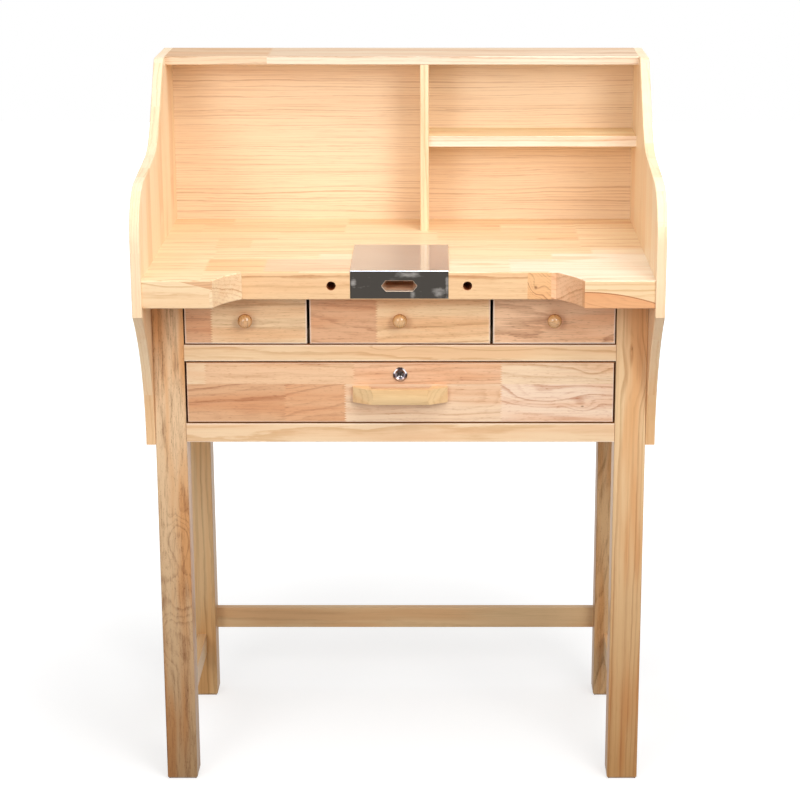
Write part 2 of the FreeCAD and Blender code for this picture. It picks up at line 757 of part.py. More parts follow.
# ---- drawers ----------------------------------------------------------------------------------------
def drawer_box(x0, x1, z0, z1, slide_z, inset, side_thickness, side_drop):
    """A drawer's boards: front, two sides, back and the bottom that slides in their grooves."""
    low = slide_z + lift_clearance
    high = z1 - side_drop
    outer0 = x0 + inset
    outer1 = x1 - inset
    inner0 = outer0 + side_thickness
    inner1 = outer1 - side_thickness
    floor0 = low + bottom_lift
    floor1 = floor0 + bottom_thickness
    groove = (inner0 - bottom_groove, inner1 + bottom_groove, front_back_y - bottom_groove,
              drawer_rear_y, floor0, floor1)
    bottom = block(*groove)
    groove_cut = grown(*groove, groove_clearance)

    front = block(x0, x1, carcass_front_y, front_back_y, z0, z1)
    front = chamfered(front, front_arris, "Y", carcass_front_y)
    side_y0 = front_back_y - front_housing
    left = block(outer0, inner0, side_y0, drawer_rear_y, low, high)
    right = block(inner1, outer1, side_y0, drawer_rear_y, low, high)
    seats = [grown(outer0, inner0, side_y0, drawer_rear_y, low, high, groove_clearance),
             grown(inner1, outer1, side_y0, drawer_rear_y, low, high, groove_clearance)]
    front = front.cut(seats + [groove_cut])
    back = block(inner0, inner1, drawer_rear_y - back_board_thickness, drawer_rear_y,
                 floor1, high)
    return {"front": front, "side_left": left.cut(groove_cut), "side_right": right.cut(groove_cut),
            "back": back, "bottom": bottom}


def screw_hole(x, z, bite):
    """A hole through a drawer front, on into the knob or pull."""
    return rod(knob_screw_radius + screw_clearance, V(x, front_back_y + cut_overrun, z),
               V(0, -1, 0), cut_overrun + front_thickness + bite + screw_clearance)


def knob(x, z):
    """A turned knob: foot, waisted neck and a domed head."""
    def out(radius, distance):
        return V(radius, carcass_front_y - distance, 0)

    # the crown is part of a sphere centred on the knob's axis
    crown_rise = knob_projection - knob_crown_out
    sphere_radius = (knob_crown_radius ** 2 + crown_rise ** 2) / (2 * crown_rise)
    half_fall = sphere_radius - math.sqrt(sphere_radius ** 2 - (knob_crown_radius / 2) ** 2)
    crown_middle = out(knob_crown_radius / 2, knob_projection - half_fall)
    foot = out(knob_foot_radius, 0)
    head = out(knob_head_radius, knob_head_out)
    crown = out(knob_crown_radius, knob_crown_out)
    tip = out(0, knob_projection)
    profile = Part.Wire([
        Part.LineSegment(out(0, 0), foot).toShape(),
        Part.Arc(foot, out(knob_waist_radius, knob_waist_out), head).toShape(),
        Part.Arc(head, out(knob_radius, knob_rim_out), crown).toShape(),
        Part.Arc(crown, crown_middle, tip).toShape(),
        Part.LineSegment(tip, out(0, 0)).toShape()])
    turned = Part.Face(profile).revolve(V(0, 0, 0), V(0, 1, 0), 360)
    turned.translate(V(x, 0, z))
    return turned.cut(screw_hole(x, z, knob_screw_bite))


def inside_screw(x, z, bite):
    """The machine screw that holds a knob or pull, put in from inside the drawer."""
    seat = V(x, front_back_y + small_head_height, z)
    return wood_screw(seat, V(0, -1, 0), small_head_height + front_thickness + bite,
                      knob_screw_radius, small_head_radius, small_head_height)


def pull_handle():
    """A bow pull: ramped ends, a grip with a rounded front and a finger gap behind it."""
    face = carcass_front_y
    half = pull_length / 2
    pad = half - pull_pad_length
    low = pull_z - pull_height / 2
    high = pull_z + pull_height / 2
    right_side = [(half, 0), (half, pull_end_thickness - pull_end_arris),
                  (half - pull_end_arris, pull_end_thickness), (pull_crest_half, pull_projection)]
    left_side = [(-x, out) for x, out in reversed(right_side)]
    gap = [(-pad, 0), (pull_pad_slope - pad, pull_finger_gap),
           (pad - pull_pad_slope, pull_finger_gap), (pad, 0)]
    plan = [V(x, face - out, low) for x, out in right_side + left_side + gap + right_side[:1]]
    bow = Part.Face(Part.makePolygon(plan)).extrude(V(0, 0, pull_height))

    edge_y = face - pull_projection + pull_barrel
    section = Part.Wire([
        Part.LineSegment(V(-half, face, low), V(-half, edge_y, low)).toShape(),
        Part.Arc(V(-half, edge_y, low), V(-half, face - pull_projection, pull_z),
                 V(-half, edge_y, high)).toShape(),
        Part.LineSegment(V(-half, edge_y, high), V(-half, face, high)).toShape(),
        Part.LineSegment(V(-half, face, high), V(-half, face, low)).toShape()])
    pull = bow.common(Part.Face(section).extrude(V(pull_length, 0, 0)))
    return pull.cut([screw_hole(x, pull_z, pull_screw_bite) for x in pull_screw_rows()])


def pull_screw_rows():
    middle = pull_length / 2 - pull_pad_length / 2
    return (-middle, middle)


# ---- lock -------------------------------------------------------------------------------------------
lock_face_y = carcass_front_y - lock_bezel_height
barrel_rear_y = front_back_y + lock_barrel_tail
plug_rear_y = barrel_rear_y + cam_axial_gap
cam_rear_y = plug_rear_y + cam_thickness


def lock_housing():
    """Bezel and barrel in one turned piece, dished at the face and bored for the plug."""
    bezel = rod(lock_bezel_radius, V(0, lock_face_y, lock_z), V(0, 1, 0), lock_bezel_height)
    bezel = chamfered(bezel, lock_bezel_chamfer, "Y", lock_face_y)
    barrel = rod(lock_barrel_radius, V(0, lock_face_y, lock_z), V(0, 1, 0),
                 barrel_rear_y - lock_face_y)
    dish = Part.makeCone(lock_dish_radius, lock_plug_radius + lock_plug_clearance, lock_dish_depth,
                         V(0, lock_face_y, lock_z), V(0, 1, 0))
    bore = rod(lock_plug_radius + lock_plug_clearance, V(0, lock_face_y, lock_z), V(0, 1, 0),
               barrel_rear_y - lock_face_y)
    return bezel.fuse(barrel).removeSplitter().cut([dish, bore])


def lock_nut():
    """The hexagon nut that clamps the lock to the back of the drawer front."""
    corners = [V(lock_nut_radius * math.cos(math.radians(60 * i)), front_back_y,
                 lock_z + lock_nut_radius * math.sin(math.radians(60 * i))) for i in range(7)]
    nut = Part.Face(Part.makePolygon(corners)).extrude(V(0, lock_nut_height, 0))
    return nut.cut(rod(lock_barrel_radius + lock_plug_clearance, V(0, front_back_y, lock_z),
                       V(0, 1, 0), lock_nut_height))


def lock_plug():
    """The turning plug: keyway in front, square tail behind for the cam."""
    start_y = lock_face_y + lock_dish_depth
    body = rod(lock_plug_radius, V(0, start_y, lock_z), V(0, 1, 0), plug_rear_y - start_y)
    half = cam_square / 2
    tail = block(-half, half, plug_rear_y, cam_rear_y, lock_z - half, lock_z + half)
    keyway = block(-keyway_width / 2, keyway_width / 2, start_y - cut_overrun,
                   start_y + keyway_depth,
                   lock_z - keyway_height / 2, lock_z + keyway_height / 2)
    tap = rod(cam_screw_radius, V(0, cam_rear_y + cut_overrun, lock_z), V(0, -1, 0),
              cut_overrun + cam_screw_length + mortise_end_gap)
    return body.fuse(tail).removeSplitter().cut([keyway, tap])


def lock_cam():
    """The flat cam. It lies level when unlocked and stands up behind the rail when locked."""
    half = cam_width / 2
    y0 = plug_rear_y
    hub = rod(half, V(0, y0, lock_z), V(0, 1, 0), cam_thickness)
    arm = block(-cam_reach + half, 0, y0, y0 + cam_thickness, lock_z - half, lock_z + half)
    tip = rod(half, V(-cam_reach + half, y0, lock_z), V(0, 1, 0), cam_thickness)
    square = cam_square / 2 + cam_clearance
    seat = block(-square, square, y0, y0 + cam_thickness, lock_z - square, lock_z + square)
    return hub.fuse([arm, tip]).removeSplitter().cut(seat)


def lock_cam_screw():
    length = cam_screw_head_height + cam_screw_length
    return wood_screw(V(0, cam_rear_y + cam_screw_head_height, lock_z), V(0, -1, 0), length,
                      cam_screw_radius - thread_clearance, cam_screw_head_radius,
                      cam_screw_head_height)


# ---- build everything ----------------------------------------------------------------------------------
os.makedirs("parts", exist_ok=True)

front_spans = [middle_rail_span, bottom_rail_span]
rear_spans = [rear_stretcher_span, apron_span]
for side, name in ((-1, "left"), (1, "right")):
    save("leg_front_" + name, leg(side, carcass_front_y, front_spans))
    save("leg_rear_" + name, leg(side, leg_rear_front_y, rear_spans))
    save("side_stretcher_" + name, side_stretcher(side))
    save("side_panel_" + name, side_panel(side))
save("rear_stretcher", cross_rail(*rear_stretcher_span))
save("middle_rail", middle_rail())
save("bottom_rail", cross_rail(*bottom_rail_span))
save("rear_apron", cross_rail(*apron_span))

save("worktop", worktop())
save("bench_plate", bench_plate())
save("bench_plate_screws", *bench_plate_screws())

save("top_board", top_board())
save("gallery_back", gallery_back())
save("gallery_divider", divider())
save("gallery_shelf", shelf())
save("gallery_dowels", *dowels())
save("wood_screws", *(panel_screws() + back_screws()))
save("panel_plugs", *panel_plugs())

save("drawer_deck", drawer_deck())
save("deck_bearers", *deck_bearers())
save("small_drawer_guides", *small_drawer_guides())
save("large_drawer_runners", *large_drawer_runners())
save("drawer_stops", *drawer_stops())

small_drawers = (("left_drawer", -small_outer_x, -small_inner_x),
                 ("middle_drawer", -middle_drawer_width / 2, middle_drawer_width / 2),
                 ("right_drawer", small_inner_x, small_outer_x))
for name, x0, x1 in small_drawers:
    middle_x = (x0 + x1) / 2
    middle_z = (small_bottom + small_top) / 2
    boards = drawer_box(x0, x1, small_bottom, small_top, deck_top, small_side_inset,
                        small_side_thickness, small_side_drop)
    boards["front"] = boards["front"].cut(screw_hole(middle_x, middle_z, knob_screw_bite))
    for board, shape in boards.items():
        save(name + "_" + board, shape)
    save(name + "_knob", knob(middle_x, middle_z))
    save(name + "_knob_screw", inside_screw(middle_x, middle_z, knob_screw_bite))

boards = drawer_box(-small_outer_x, small_outer_x, large_bottom, large_top, runner_top,
                    large_side_inset, large_side_thickness, large_side_drop)
lock_hole = rod(lock_barrel_radius + lock_barrel_clearance,
                V(0, carcass_front_y - cut_overrun, lock_z), V(0, 1, 0),
                front_thickness + 2 * cut_overrun)
pull_holes = [screw_hole(x, pull_z, pull_screw_bite) for x in pull_screw_rows()]
boards["front"] = boards["front"].cut([lock_hole] + pull_holes)
for board, shape in boards.items():
    save("large_drawer_" + board, shape)
save("pull_handle", pull_handle())
save("pull_screws", *[inside_screw(x, pull_z, pull_screw_bite) for x in pull_screw_rows()])

save("lock_housing", lock_housing())
save("lock_nut", lock_nut())
save("lock_plug", lock_plug())
save("lock_cam", lock_cam())
save("lock_cam_screw", lock_cam_screw())
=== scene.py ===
import math

import bpy
from mathutils import Euler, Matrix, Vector


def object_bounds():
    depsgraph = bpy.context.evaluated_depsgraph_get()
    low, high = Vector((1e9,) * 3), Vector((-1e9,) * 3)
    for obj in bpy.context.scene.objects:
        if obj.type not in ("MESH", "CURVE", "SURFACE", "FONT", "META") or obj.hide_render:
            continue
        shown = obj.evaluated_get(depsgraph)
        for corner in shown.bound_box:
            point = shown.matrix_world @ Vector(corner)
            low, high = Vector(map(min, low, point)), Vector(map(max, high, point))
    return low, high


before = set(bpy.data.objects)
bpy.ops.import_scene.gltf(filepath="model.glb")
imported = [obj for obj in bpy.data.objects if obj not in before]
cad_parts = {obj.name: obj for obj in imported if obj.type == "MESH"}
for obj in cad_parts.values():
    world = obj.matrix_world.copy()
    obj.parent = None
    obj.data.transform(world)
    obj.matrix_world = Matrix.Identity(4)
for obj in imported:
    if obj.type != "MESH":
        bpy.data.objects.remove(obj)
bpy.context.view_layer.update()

# ---- legs ----------------
# Four square legs, each sawn from one length of pine with its grain running up the leg.
# They are planed, eased along the arrises and finished with a satin clear lacquer, which keeps
# the growth rings, brown veins and fibre clearly visible.


def linear(hex_colour):
    """An sRGB hex colour as linear RGBA."""
    parts = [int(hex_colour[i:i + 2], 16) / 255 for i in (1, 3, 5)]
    return [p / 12.92 if p <= 0.04045 else ((p + 0.055) / 1.055) ** 2.4 for p in parts] + [1.0]


def add(tree, kind, inputs=None, **settings):
    """Adds a node with its settings. Each input is set, or linked from a socket or from the
    first live output of a node. kind may leave out the word ShaderNode."""
    made = tree.nodes.new(kind if kind.startswith("NodeGroup") else "ShaderNode" + kind)
    for key, value in settings.items():
        setattr(made, key, value)
    for key, value in (inputs or {}).items():
        if isinstance(value, bpy.types.Node):
            value = next(socket for socket in value.outputs if socket.enabled)
        if isinstance(value, bpy.types.NodeSocket):
            tree.links.new(value, made.inputs[key])
        else:
            made.inputs[key].default_value = value
    return made


def empty_tree(owner):
    """The emptied node tree of a material or world."""
    owner.use_nodes = True
    owner.node_tree.nodes.clear()
    return owner.node_tree


def new_group(name, inputs, outputs):
    """An empty node group. inputs maps each name to its value, and outputs to its kind."""
    group = bpy.data.node_groups.new(name, "ShaderNodeTree")
    for label, value in inputs.items():
        kind = {3: "Vector", 4: "Color"}[len(value)] if isinstance(value, tuple) else "Float"
        socket = group.interface.new_socket(label, in_out="INPUT", socket_type="NodeSocket" + kind)
        socket.default_value = value
    for label, kind in outputs.items():
        group.interface.new_socket(label, in_out="OUTPUT", socket_type="NodeSocket" + kind)
    return group


def sawn_pine_group():
    """Colour of a sawn board: growth rings round a distant pith, fibre, streaks and flecks.
    Position is in mm, with the grain along X. Board holds the board's tone, the place of its
    row and a number of its own."""
    white = (1, 1, 1, 1)
    group = new_group("sawn pine", {
        "Position": (0, 0, 0), "Board": (0, 0, 0), "Climb": 0.0, "Dive": 0.0, "Swirl": 0.0,
        "Ring": 5.0, "Pith": 60.0, "Lean": 0.05, "Warp": 6.0, "Early": white, "Late": white,
        "Blush": white, "Flush": 0.5, "Contrast": 0.6, "Streak": 0.5, "Fibre": 0.3, "Fleck": 0.3,
        "Length": 1.0}, {"Color": "Color", "Grain": "Float"})
    given = add(group, "NodeGroupInput").outputs

    def unevenness(where, size, detail, roughness):
        """How the wood varies, in patches of that size in mm, from -0.5 to 0.5."""
        scaled = add(group, "VectorMath", {0: where, 1: size}, operation="DIVIDE")
        patches = add(group, "TexNoise", {"Vector": scaled, "Scale": 1.0, "Detail": detail,
                                          "Roughness": roughness})
        return add(group, "Math", {0: patches, 1: 0.5}, operation="SUBTRACT")

    # every board is cut from another part of the log
    luck = add(group, "TexWhiteNoise", {"Vector": given["Board"]}, noise_dimensions="3D")
    luck = add(group, "VectorMath", {0: luck.outputs["Color"], 1: (0.5, 0.5, 0.5)},
               operation="SUBTRACT")
    each = add(group, "SeparateXYZ", {0: luck}).outputs
    row = add(group, "VectorMath", {0: given["Board"], 1: (0, 1, 0)}, operation="MULTIPLY")
    local = add(group, "VectorMath", {0: given["Position"], 1: row}, operation="SUBTRACT")
    log_size = (1700, 70, 40)
    place = add(group, "VectorMath", {0: luck, 1: log_size, 2: local}, operation="MULTIPLY_ADD")
    along = add(group, "SeparateXYZ", {0: place}).outputs
    run = add(group, "SeparateXYZ", {0: local}).outputs["X"]

    # distance to the pith, which leans against the board, with slow waves and small ripples that
    # are several times as long as they are wide
    lean = given["Lean"]
    climb = add(group, "Math", {0: each["X"], 1: lean, 2: given["Climb"]}, operation="MULTIPLY_ADD")
    dive = add(group, "Math", {0: each["Z"], 1: lean, 2: given["Dive"]}, operation="MULTIPLY_ADD")
    side = add(group, "Math", {0: run, 1: climb, 2: along["Y"]}, operation="MULTIPLY_ADD")
    deep = add(group, "Math", {0: along["Z"], 1: given["Pith"]}, operation="ADD")
    deep = add(group, "Math", {0: run, 1: dive, 2: deep}, operation="MULTIPLY_ADD")
    flat = add(group, "CombineXYZ", {0: side, 1: deep, 2: 0.0})
    reach = add(group, "VectorMath", {0: flat}, operation="LENGTH")
    waves = unevenness(place, (260, 45, 45), 2.0, 0.5)
    reach = add(group, "Math", {0: waves, 1: given["Warp"], 2: reach}, operation="MULTIPLY_ADD")
    ripples = unevenness(place, (34, 5, 5), 2.0, 0.6)
    reach = add(group, "Math", {0: ripples, 1: 3.0, 2: reach}, operation="MULTIPLY_ADD")
    reach = add(group, "Math", {0: reach, 1: given["Swirl"]}, operation="ADD")
    rings = add(group, "Math", {0: reach, 1: given["Ring"]}, operation="DIVIDE")
    # good and lean years: the rings lie closer together in places
    decade = add(group, "Math", {0: rings, 1: 0.16}, operation="MULTIPLY")
    years = add(group, "TexNoise", {"W": decade, "Scale": 1.0, "Detail": 1.0},
                noise_dimensions="1D")
    rings = add(group, "Math", {0: years, 1: 2.6, 2: rings}, operation="MULTIPLY_ADD")

    # each ring darkens slowly into its latewood and ends sharply; some rings are stronger
    part = add(group, "Math", {0: rings}, operation="FRACT")
    darkening = add(group, "MapRange", {"Value": part, "From Min": 0.3, "From Max": 0.86},
                    interpolation_type="SMOOTHSTEP")
    ending = add(group, "MapRange", {"Value": part, "From Min": 1.0, "From Max": 0.88})
    late = add(group, "Math", {0: darkening, 1: ending}, operation="MULTIPLY")
    late = add(group, "Math", {0: late, 1: 1.5}, operation="POWER")
    year = add(group, "Math", {0: rings}, operation="FLOOR")
    strong = add(group, "TexWhiteNoise", {"W": year}, noise_dimensions="1D")
    strong = add(group, "Math", {0: strong, 1: 1.8}, operation="POWER")
    strong = add(group, "Math", {0: strong, 1: 0.85, 2: 0.15}, operation="MULTIPLY_ADD")
    late = add(group, "Math", {0: late, 1: strong}, operation="MULTIPLY")
    late = add(group, "Math", {0: late, 1: given["Contrast"]}, operation="MULTIPLY")

    # fibre is 0.3 mm wide in the wood; it is drawn 1.8 mm wide so that it shows
    stretched = add(group, "Math", {0: along["X"], 1: given["Length"]}, operation="DIVIDE")
    stretched = add(group, "CombineXYZ", {0: stretched, 1: along["Y"], 2: along["Z"]})
    fibres = unevenness(stretched, (60, 1.8, 1.8), 3.0, 0.65)
    depth = add(group, "Math", {0: fibres, 1: given["Fibre"], 2: late}, operation="MULTIPLY_ADD")
    streaks = unevenness(stretched, (240, 6, 6), 3.0, 0.6)
    depth = add(group, "Math", {0: streaks, 1: given["Streak"], 2: depth}, operation="MULTIPLY_ADD")
    # short dark pores, drawn 1.6 mm wide and a finger's width long
    pores = unevenness(stretched, (11, 1.6, 1.6), 1.0, 0.5)
    pores = add(group, "MapRange", {"Value": pores, "From Min": 0.08, "From Max": 0.26})
    pores = add(group, "Math", {0: pores, 1: given["Fleck"]}, operation="MULTIPLY")
    depth = add(group, "Math", {0: depth, 1: pores}, operation="ADD", use_clamp=True)

    # broad warmer zones of heartwood
    zone = unevenness(place, (300, 26, 26), 2.0, 0.5)
    zone = add(group, "MapRange", {"Value": zone, "From Min": -0.08, "From Max": 0.16},
               interpolation_type="SMOOTHSTEP")
    zone = add(group, "Math", {0: zone, 1: given["Flush"]}, operation="MULTIPLY")
    colour = add(group, "Mix", {"Factor": depth, "A": given["Early"], "B": given["Late"]},
                 data_type="RGBA")
    warm = add(group, "Mix", {"Factor": zone, "A": colour, "B": given["Blush"]}, data_type="RGBA",
               blend_type="MULTIPLY")
    add(group, "NodeGroupOutput", {"Color": warm, "Grain": depth})
    return group


def swirl_group():
    """Grain that bends round a knot: how far the rings are pushed out, and the knot's dark core."""
    group = new_group("grain round a knot", {
        "Position": (0, 0, 0), "Middle": (0, 0, 0), "Reach": (30, 30, 30), "Push": 20.0,
        "Core": 0.0, "Before": 0.0, "Cores before": 0.0}, {"Swirl": "Float", "Cores": "Float"})
    given = add(group, "NodeGroupInput").outputs
    away = add(group, "VectorMath", {0: given["Position"], 1: given["Middle"]},
               operation="SUBTRACT")
    away = add(group, "VectorMath", {0: away, 1: given["Reach"]}, operation="DIVIDE")
    away = add(group, "VectorMath", {0: away}, operation="LENGTH")
    bump = add(group, "MapRange", {"Value": away, "To Min": 1.0, "To Max": 0.0},
               interpolation_type="SMOOTHSTEP")
    total = add(group, "Math", {0: bump, 1: given["Push"], 2: given["Before"]},
                operation="MULTIPLY_ADD")
    core = add(group, "MapRange", {"Value": away, "From Min": given["Core"], "From Max": 0.0})
    cores = add(group, "Math", {0: core, 1: given["Cores before"]}, operation="MAXIMUM")
    add(group, "NodeGroupOutput", {"Swirl": total, "Cores": cores})
    return group


sawn_pine = sawn_pine_group()
grain_round_a_knot = swirl_group()


def turned(x, y, z):
    """A turn about each axis in degrees, as radians."""
    return (math.radians(x), math.radians(y), math.radians(z))


# how a pattern is turned: which way its grain runs, and where the flat-sawn face looks
up_facing_side = turned(0, 90, 0)
up_facing_front = turned(-90, 0, 90)


def slope_of(shade):
    """The third value of a tone of wood, where it has one."""
    return shade[2] if len(shade) > 2 else 0.0


def tones(tree, number, shades):
    """Early and late wood colour and slope of the tone with that number."""
    share = add(tree, "Math", {0: number, 1: 0.5}, operation="ADD")
    share = add(tree, "Math", {0: share, 1: float(len(shades))}, operation="DIVIDE")
    picked = []
    for which in (0, 1):
        ramp = add(tree, "ValToRGB", {0: share})
        stops = ramp.color_ramp.elements
        ramp.color_ramp.interpolation = "CONSTANT"
        while len(stops) < len(shades):
            stops.new(0.5)
        for index, shade in enumerate(shades):
            stops[index].position = index / len(shades)
            # the slope, from -2 to 2, is kept in the stop's alpha
            stops[index].color = linear(shade[which])[:3] + [0.5 + slope_of(shade) / 4]
        picked.append(ramp.outputs)
    slope = add(tree, "Math", {0: picked[0]["Alpha"], 1: 4.0, 2: -2.0}, operation="MULTIPLY_ADD")
    return picked[0]["Color"], picked[1]["Color"], slope


knot_core = "#8a5a38"
painted_edge_highlight = "#fff3e4"
hole_shade = "#b0683c"


def pine(name, turn, middle, wood, shades, blush="#f3d6c0", board=None, swirls=(), roughness=0.42,
         rim=None, slopes="Climb", inner=None, foot=None, holes=None, crown=None, gloss=0.3):
    """Planed pine under satin lacquer, which shows rings, fibre and pores with a soft sheen.
    turn lays the grain, and middle is the piece's middle in mm. wood holds the ring sizes.
    shades are the tones of wood: (early, late, slope). slopes names the way they slope.
    board works out a place's tone, row and number in a glued-up piece.
    swirls are knots: (middle, reach, push, core) in mm.
    rim is (x, x, z, z, share) of a front whose edges get a pale painted highlight.
    inner is (low, high, side, level, limit): faces between two heights that look sideways, or up
    and down, get painted shade in those colours and have no shine.
    foot is (colour, from, to, side) of a piece that darkens downwards with painted shade, apart
    from the faces that look to that side.
    holes is (x, z, radius, front y) of two drilled holes whose walls are darkened with painted
    shade.
    crown is the colour of painted shade that darkens a knob from its crown to its rim.
    gloss is how strongly the lacquer shines."""
    material = bpy.data.materials.new(name)
    tree = empty_tree(material)
    coords = add(tree, "TexCoord").outputs
    millimetres = add(tree, "VectorMath", {0: coords["Object"], "Scale": 1000.0}, operation="SCALE")
    laid = add(tree, "Mapping", {"Vector": millimetres, "Rotation": turn})
    centre = Euler(turn).to_matrix() @ Vector(middle)
    if board:
        half_a_row = 25
        centre.y = half_a_row  # the row's own middle stands in for the piece's
        number = board(tree, laid)
        tone = add(tree, "SeparateXYZ", {0: number}).outputs["X"]
        early, late, slope = tones(tree, tone, shades)
    else:
        # a single board has a number of its own from its name and its place
        number = (len(name), 0, sum(middle))
        early, late = linear(shades[0][0]), linear(shades[0][1])
        slope = slope_of(shades[0])
    swirl, cores = 0.0, 0.0
    for middle_of_knot, reach, push, core in swirls:
        knot = add(tree, "Group", {"Position": millimetres, "Middle": middle_of_knot,
                                   "Reach": reach, "Push": push, "Core": core, "Before": swirl,
                                   "Cores before": cores}, node_tree=grain_round_a_knot)
        swirl, cores = knot.outputs["Swirl"], knot.outputs["Cores"]
    place = add(tree, "VectorMath", {0: laid, 1: centre}, operation="SUBTRACT")
    grain = add(tree, "Group", {"Position": place, "Board": number, "Early": early, "Late": late,
                                "Blush": linear(blush), "Swirl": swirl, slopes: slope, **wood},
                node_tree=sawn_pine).outputs
    colour = grain["Color"]
    if swirls:
        colour = add(tree, "Mix", {"Factor": cores, "A": colour, "B": linear(knot_core)},
                     data_type="RGBA")
    facing = add(tree, "VectorMath", {0: coords["Normal"]}, operation="ABSOLUTE")
    facing = add(tree, "SeparateXYZ", {0: facing}).outputs
    spot = add(tree, "SeparateXYZ", {0: millimetres}).outputs
    rough = roughness
    if foot:
        # painted shade that deepens downwards, kept off the faces that look to the given side
        dark, top, bottom, clean_side = foot
        low = add(tree, "MapRange", {"Value": spot["Z"], "From Min": top, "From Max": bottom})
        outward = add(tree, "SeparateXYZ", {0: coords["Normal"]}).outputs["X"]
        outward = add(tree, "Math", {0: outward, 1: clean_side}, operation="MULTIPLY")
        outward = add(tree, "Math", {0: outward, 1: 0.0}, operation="MAXIMUM")
        low = add(tree, "Math", {0: low, 1: outward}, operation="SUBTRACT", use_clamp=True)
        colour = add(tree, "Mix", {"Factor": low, "A": colour, "B": linear(dark)}, data_type="RGBA",
                     blend_type="MULTIPLY")
    if rim:
        # a painted highlight on the edge of a front: a thin pale line that fades between 1.2 and
        # 2.8 mm
        fade_from, fade_to = 1.2, 2.8
        left, right, bottom, top, share = rim
        edge = 0.0
        for across, near, far in (("X", left, right), ("Z", bottom, top)):
            half = (far - near) / 2
            gone = add(tree, "Math", {0: spot[across], 1: near + half}, operation="SUBTRACT")
            gone = add(tree, "Math", {0: gone}, operation="ABSOLUTE")
            gone = add(tree, "MapRange", {"Value": gone, "From Min": half - fade_to,
                                          "From Max": half - fade_from, "To Max": share})
            edge = add(tree, "Math", {0: edge, 1: gone}, operation="MAXIMUM")
        colour = add(tree, "Mix", {"Factor": edge, "A": colour, "B": linear(painted_edge_highlight)},
                     data_type="RGBA")
    if inner:
        # painted shade: faces that look away from the front get another tint, and have no shine
        low, high, side_tint, level_tint, limit = inner
        half = (high - low) / 2
        within = add(tree, "Math", {0: spot["Z"], 1: low + half, 2: half}, operation="COMPARE")
        hidden = add(tree, "Math", {0: facing["Y"], 1: limit}, operation="LESS_THAN")
        within = add(tree, "Math", {0: within, 1: hidden}, operation="MULTIPLY")
        tint = add(tree, "Mix", {"Factor": facing["Z"], "A": linear(side_tint),
                                 "B": linear(level_tint)}, data_type="RGBA")
        colour = add(tree, "Mix", {"Factor": within, "A": colour, "B": tint}, data_type="RGBA",
                     blend_type="MULTIPLY")
        rough = add(tree, "Mix", {"Factor": within, "A": roughness, "B": 1.0}, data_type="FLOAT")
    if crown:
        # painted shade that darkens the knob from its crown to its rim
        away = add(tree, "MapRange", {"Value": facing["Y"], "From Min": 0.75, "From Max": 0.3})
        colour = add(tree, "Mix", {"Factor": away, "A": colour, "B": linear(crown)},
                     data_type="RGBA", blend_type="MULTIPLY")
    if holes:
        # painted shade on the walls of the two drilled holes
        hole_x, hole_z, radius, front_y = holes
        half_depth = 25.0
        mirrored = add(tree, "Math", {0: spot["X"]}, operation="ABSOLUTE")
        flat = add(tree, "CombineXYZ", {0: mirrored, 1: 0.0, 2: spot["Z"]})
        near = add(tree, "VectorMath", {0: flat, 1: (hole_x, 0.0, hole_z)}, operation="DISTANCE")
        near = add(tree, "Math", {0: near, 1: radius}, operation="LESS_THAN")
        sunk = add(tree, "Math", {0: spot["Y"], 1: front_y + half_depth, 2: half_depth},
                   operation="COMPARE")
        near = add(tree, "Math", {0: near, 1: sunk}, operation="MULTIPLY")
        colour = add(tree, "Mix", {"Factor": near, "A": colour, "B": linear(hole_shade)},
                     data_type="RGBA")
    bump = add(tree, "Bump", {"Height": grain["Grain"], "Strength": 0.12, "Distance": 0.0004},
               invert=True)
    shader = add(tree, "BsdfPrincipled", {"Base Color": colour, "Normal": bump, "Roughness": rough,
                                          "Specular IOR Level": gloss})
    add(tree, "OutputMaterial", {"Surface": shader})
    return material


def dress(node, material):
    """Gives a frame node its finish."""
    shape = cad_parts[node]
    if not shape.material_slots:
        shape.data.materials.append(material)
    for slot in shape.material_slots:
        slot.material = material


veined_wood = {"Ring": 7.5, "Pith": 30, "Lean": 0.05, "Warp": 30, "Contrast": 0.62, "Streak": 1.5,
               "Fibre": 1.3, "Fleck": 0.35, "Flush": 0.9, "Length": 0.35}
straight_wood = {"Ring": 8.0, "Pith": 60, "Lean": 0.02, "Warp": 9, "Contrast": 0.65, "Streak": 0.9,
                 "Fibre": 0.45, "Fleck": 0.1, "Flush": 0.7, "Length": 2.0}
# faces in the drawer openings are darkened with painted shade
opening_shade = (576, 817, "#3e2016", "#c8a27c", 0.1)
# the front legs and the rear left leg darken towards the floor with painted shade
dress("leg_front_left", pine("veined_pine_left_leg", up_facing_front, (-360, -120, 400),
                             veined_wood, [("#e9c59c", "#8f603a")], blush="#f2d0aa", inner=opening_shade,
                             foot=("#b6ac9c", 620, 20, 0.0),
                             swirls=[((-352, -144, 412), (34, 60, 60), 26, 0.0),
                                     ((-348, -144, 330), (60, 60, 70), 20, 0.0),
                                     ((-380, -144, 240), (50, 60, 60), -14, 0.0)]))
# the right leg's faces in the drawer openings get a lighter painted shade
dress("leg_front_right", pine("warm_pine_right_leg", up_facing_side, (360, -120, 400),
                              straight_wood, [("#edc99b", "#ae743e")], blush="#f2cfac",
                              inner=(576, 817, "#c89c70", "#c89c70", 0.1),
                              foot=("#c6b193", 640, 20, 0.0),
                              swirls=[((361, -144, 729), (9, 40, 40), 9, 0.1),
                                      ((372, -144, 690), (40, 60, 70), 12, 0.0)]))
dress("leg_rear_left", pine("pine_rear_left_leg", up_facing_side, (-360, 225, 400), straight_wood,
                            [("#e9c598", "#966c42")], blush="#f1dabb", inner=opening_shade,
                            foot=("#e2d8c6", 560, 20, 0.0)))
dress("leg_rear_right", pine("pine_rear_right_leg", up_facing_front, (360, 225, 400), veined_wood,
                             [("#c7a074", "#83603c", 0.25)], blush="#f0d4b2", inner=opening_shade))

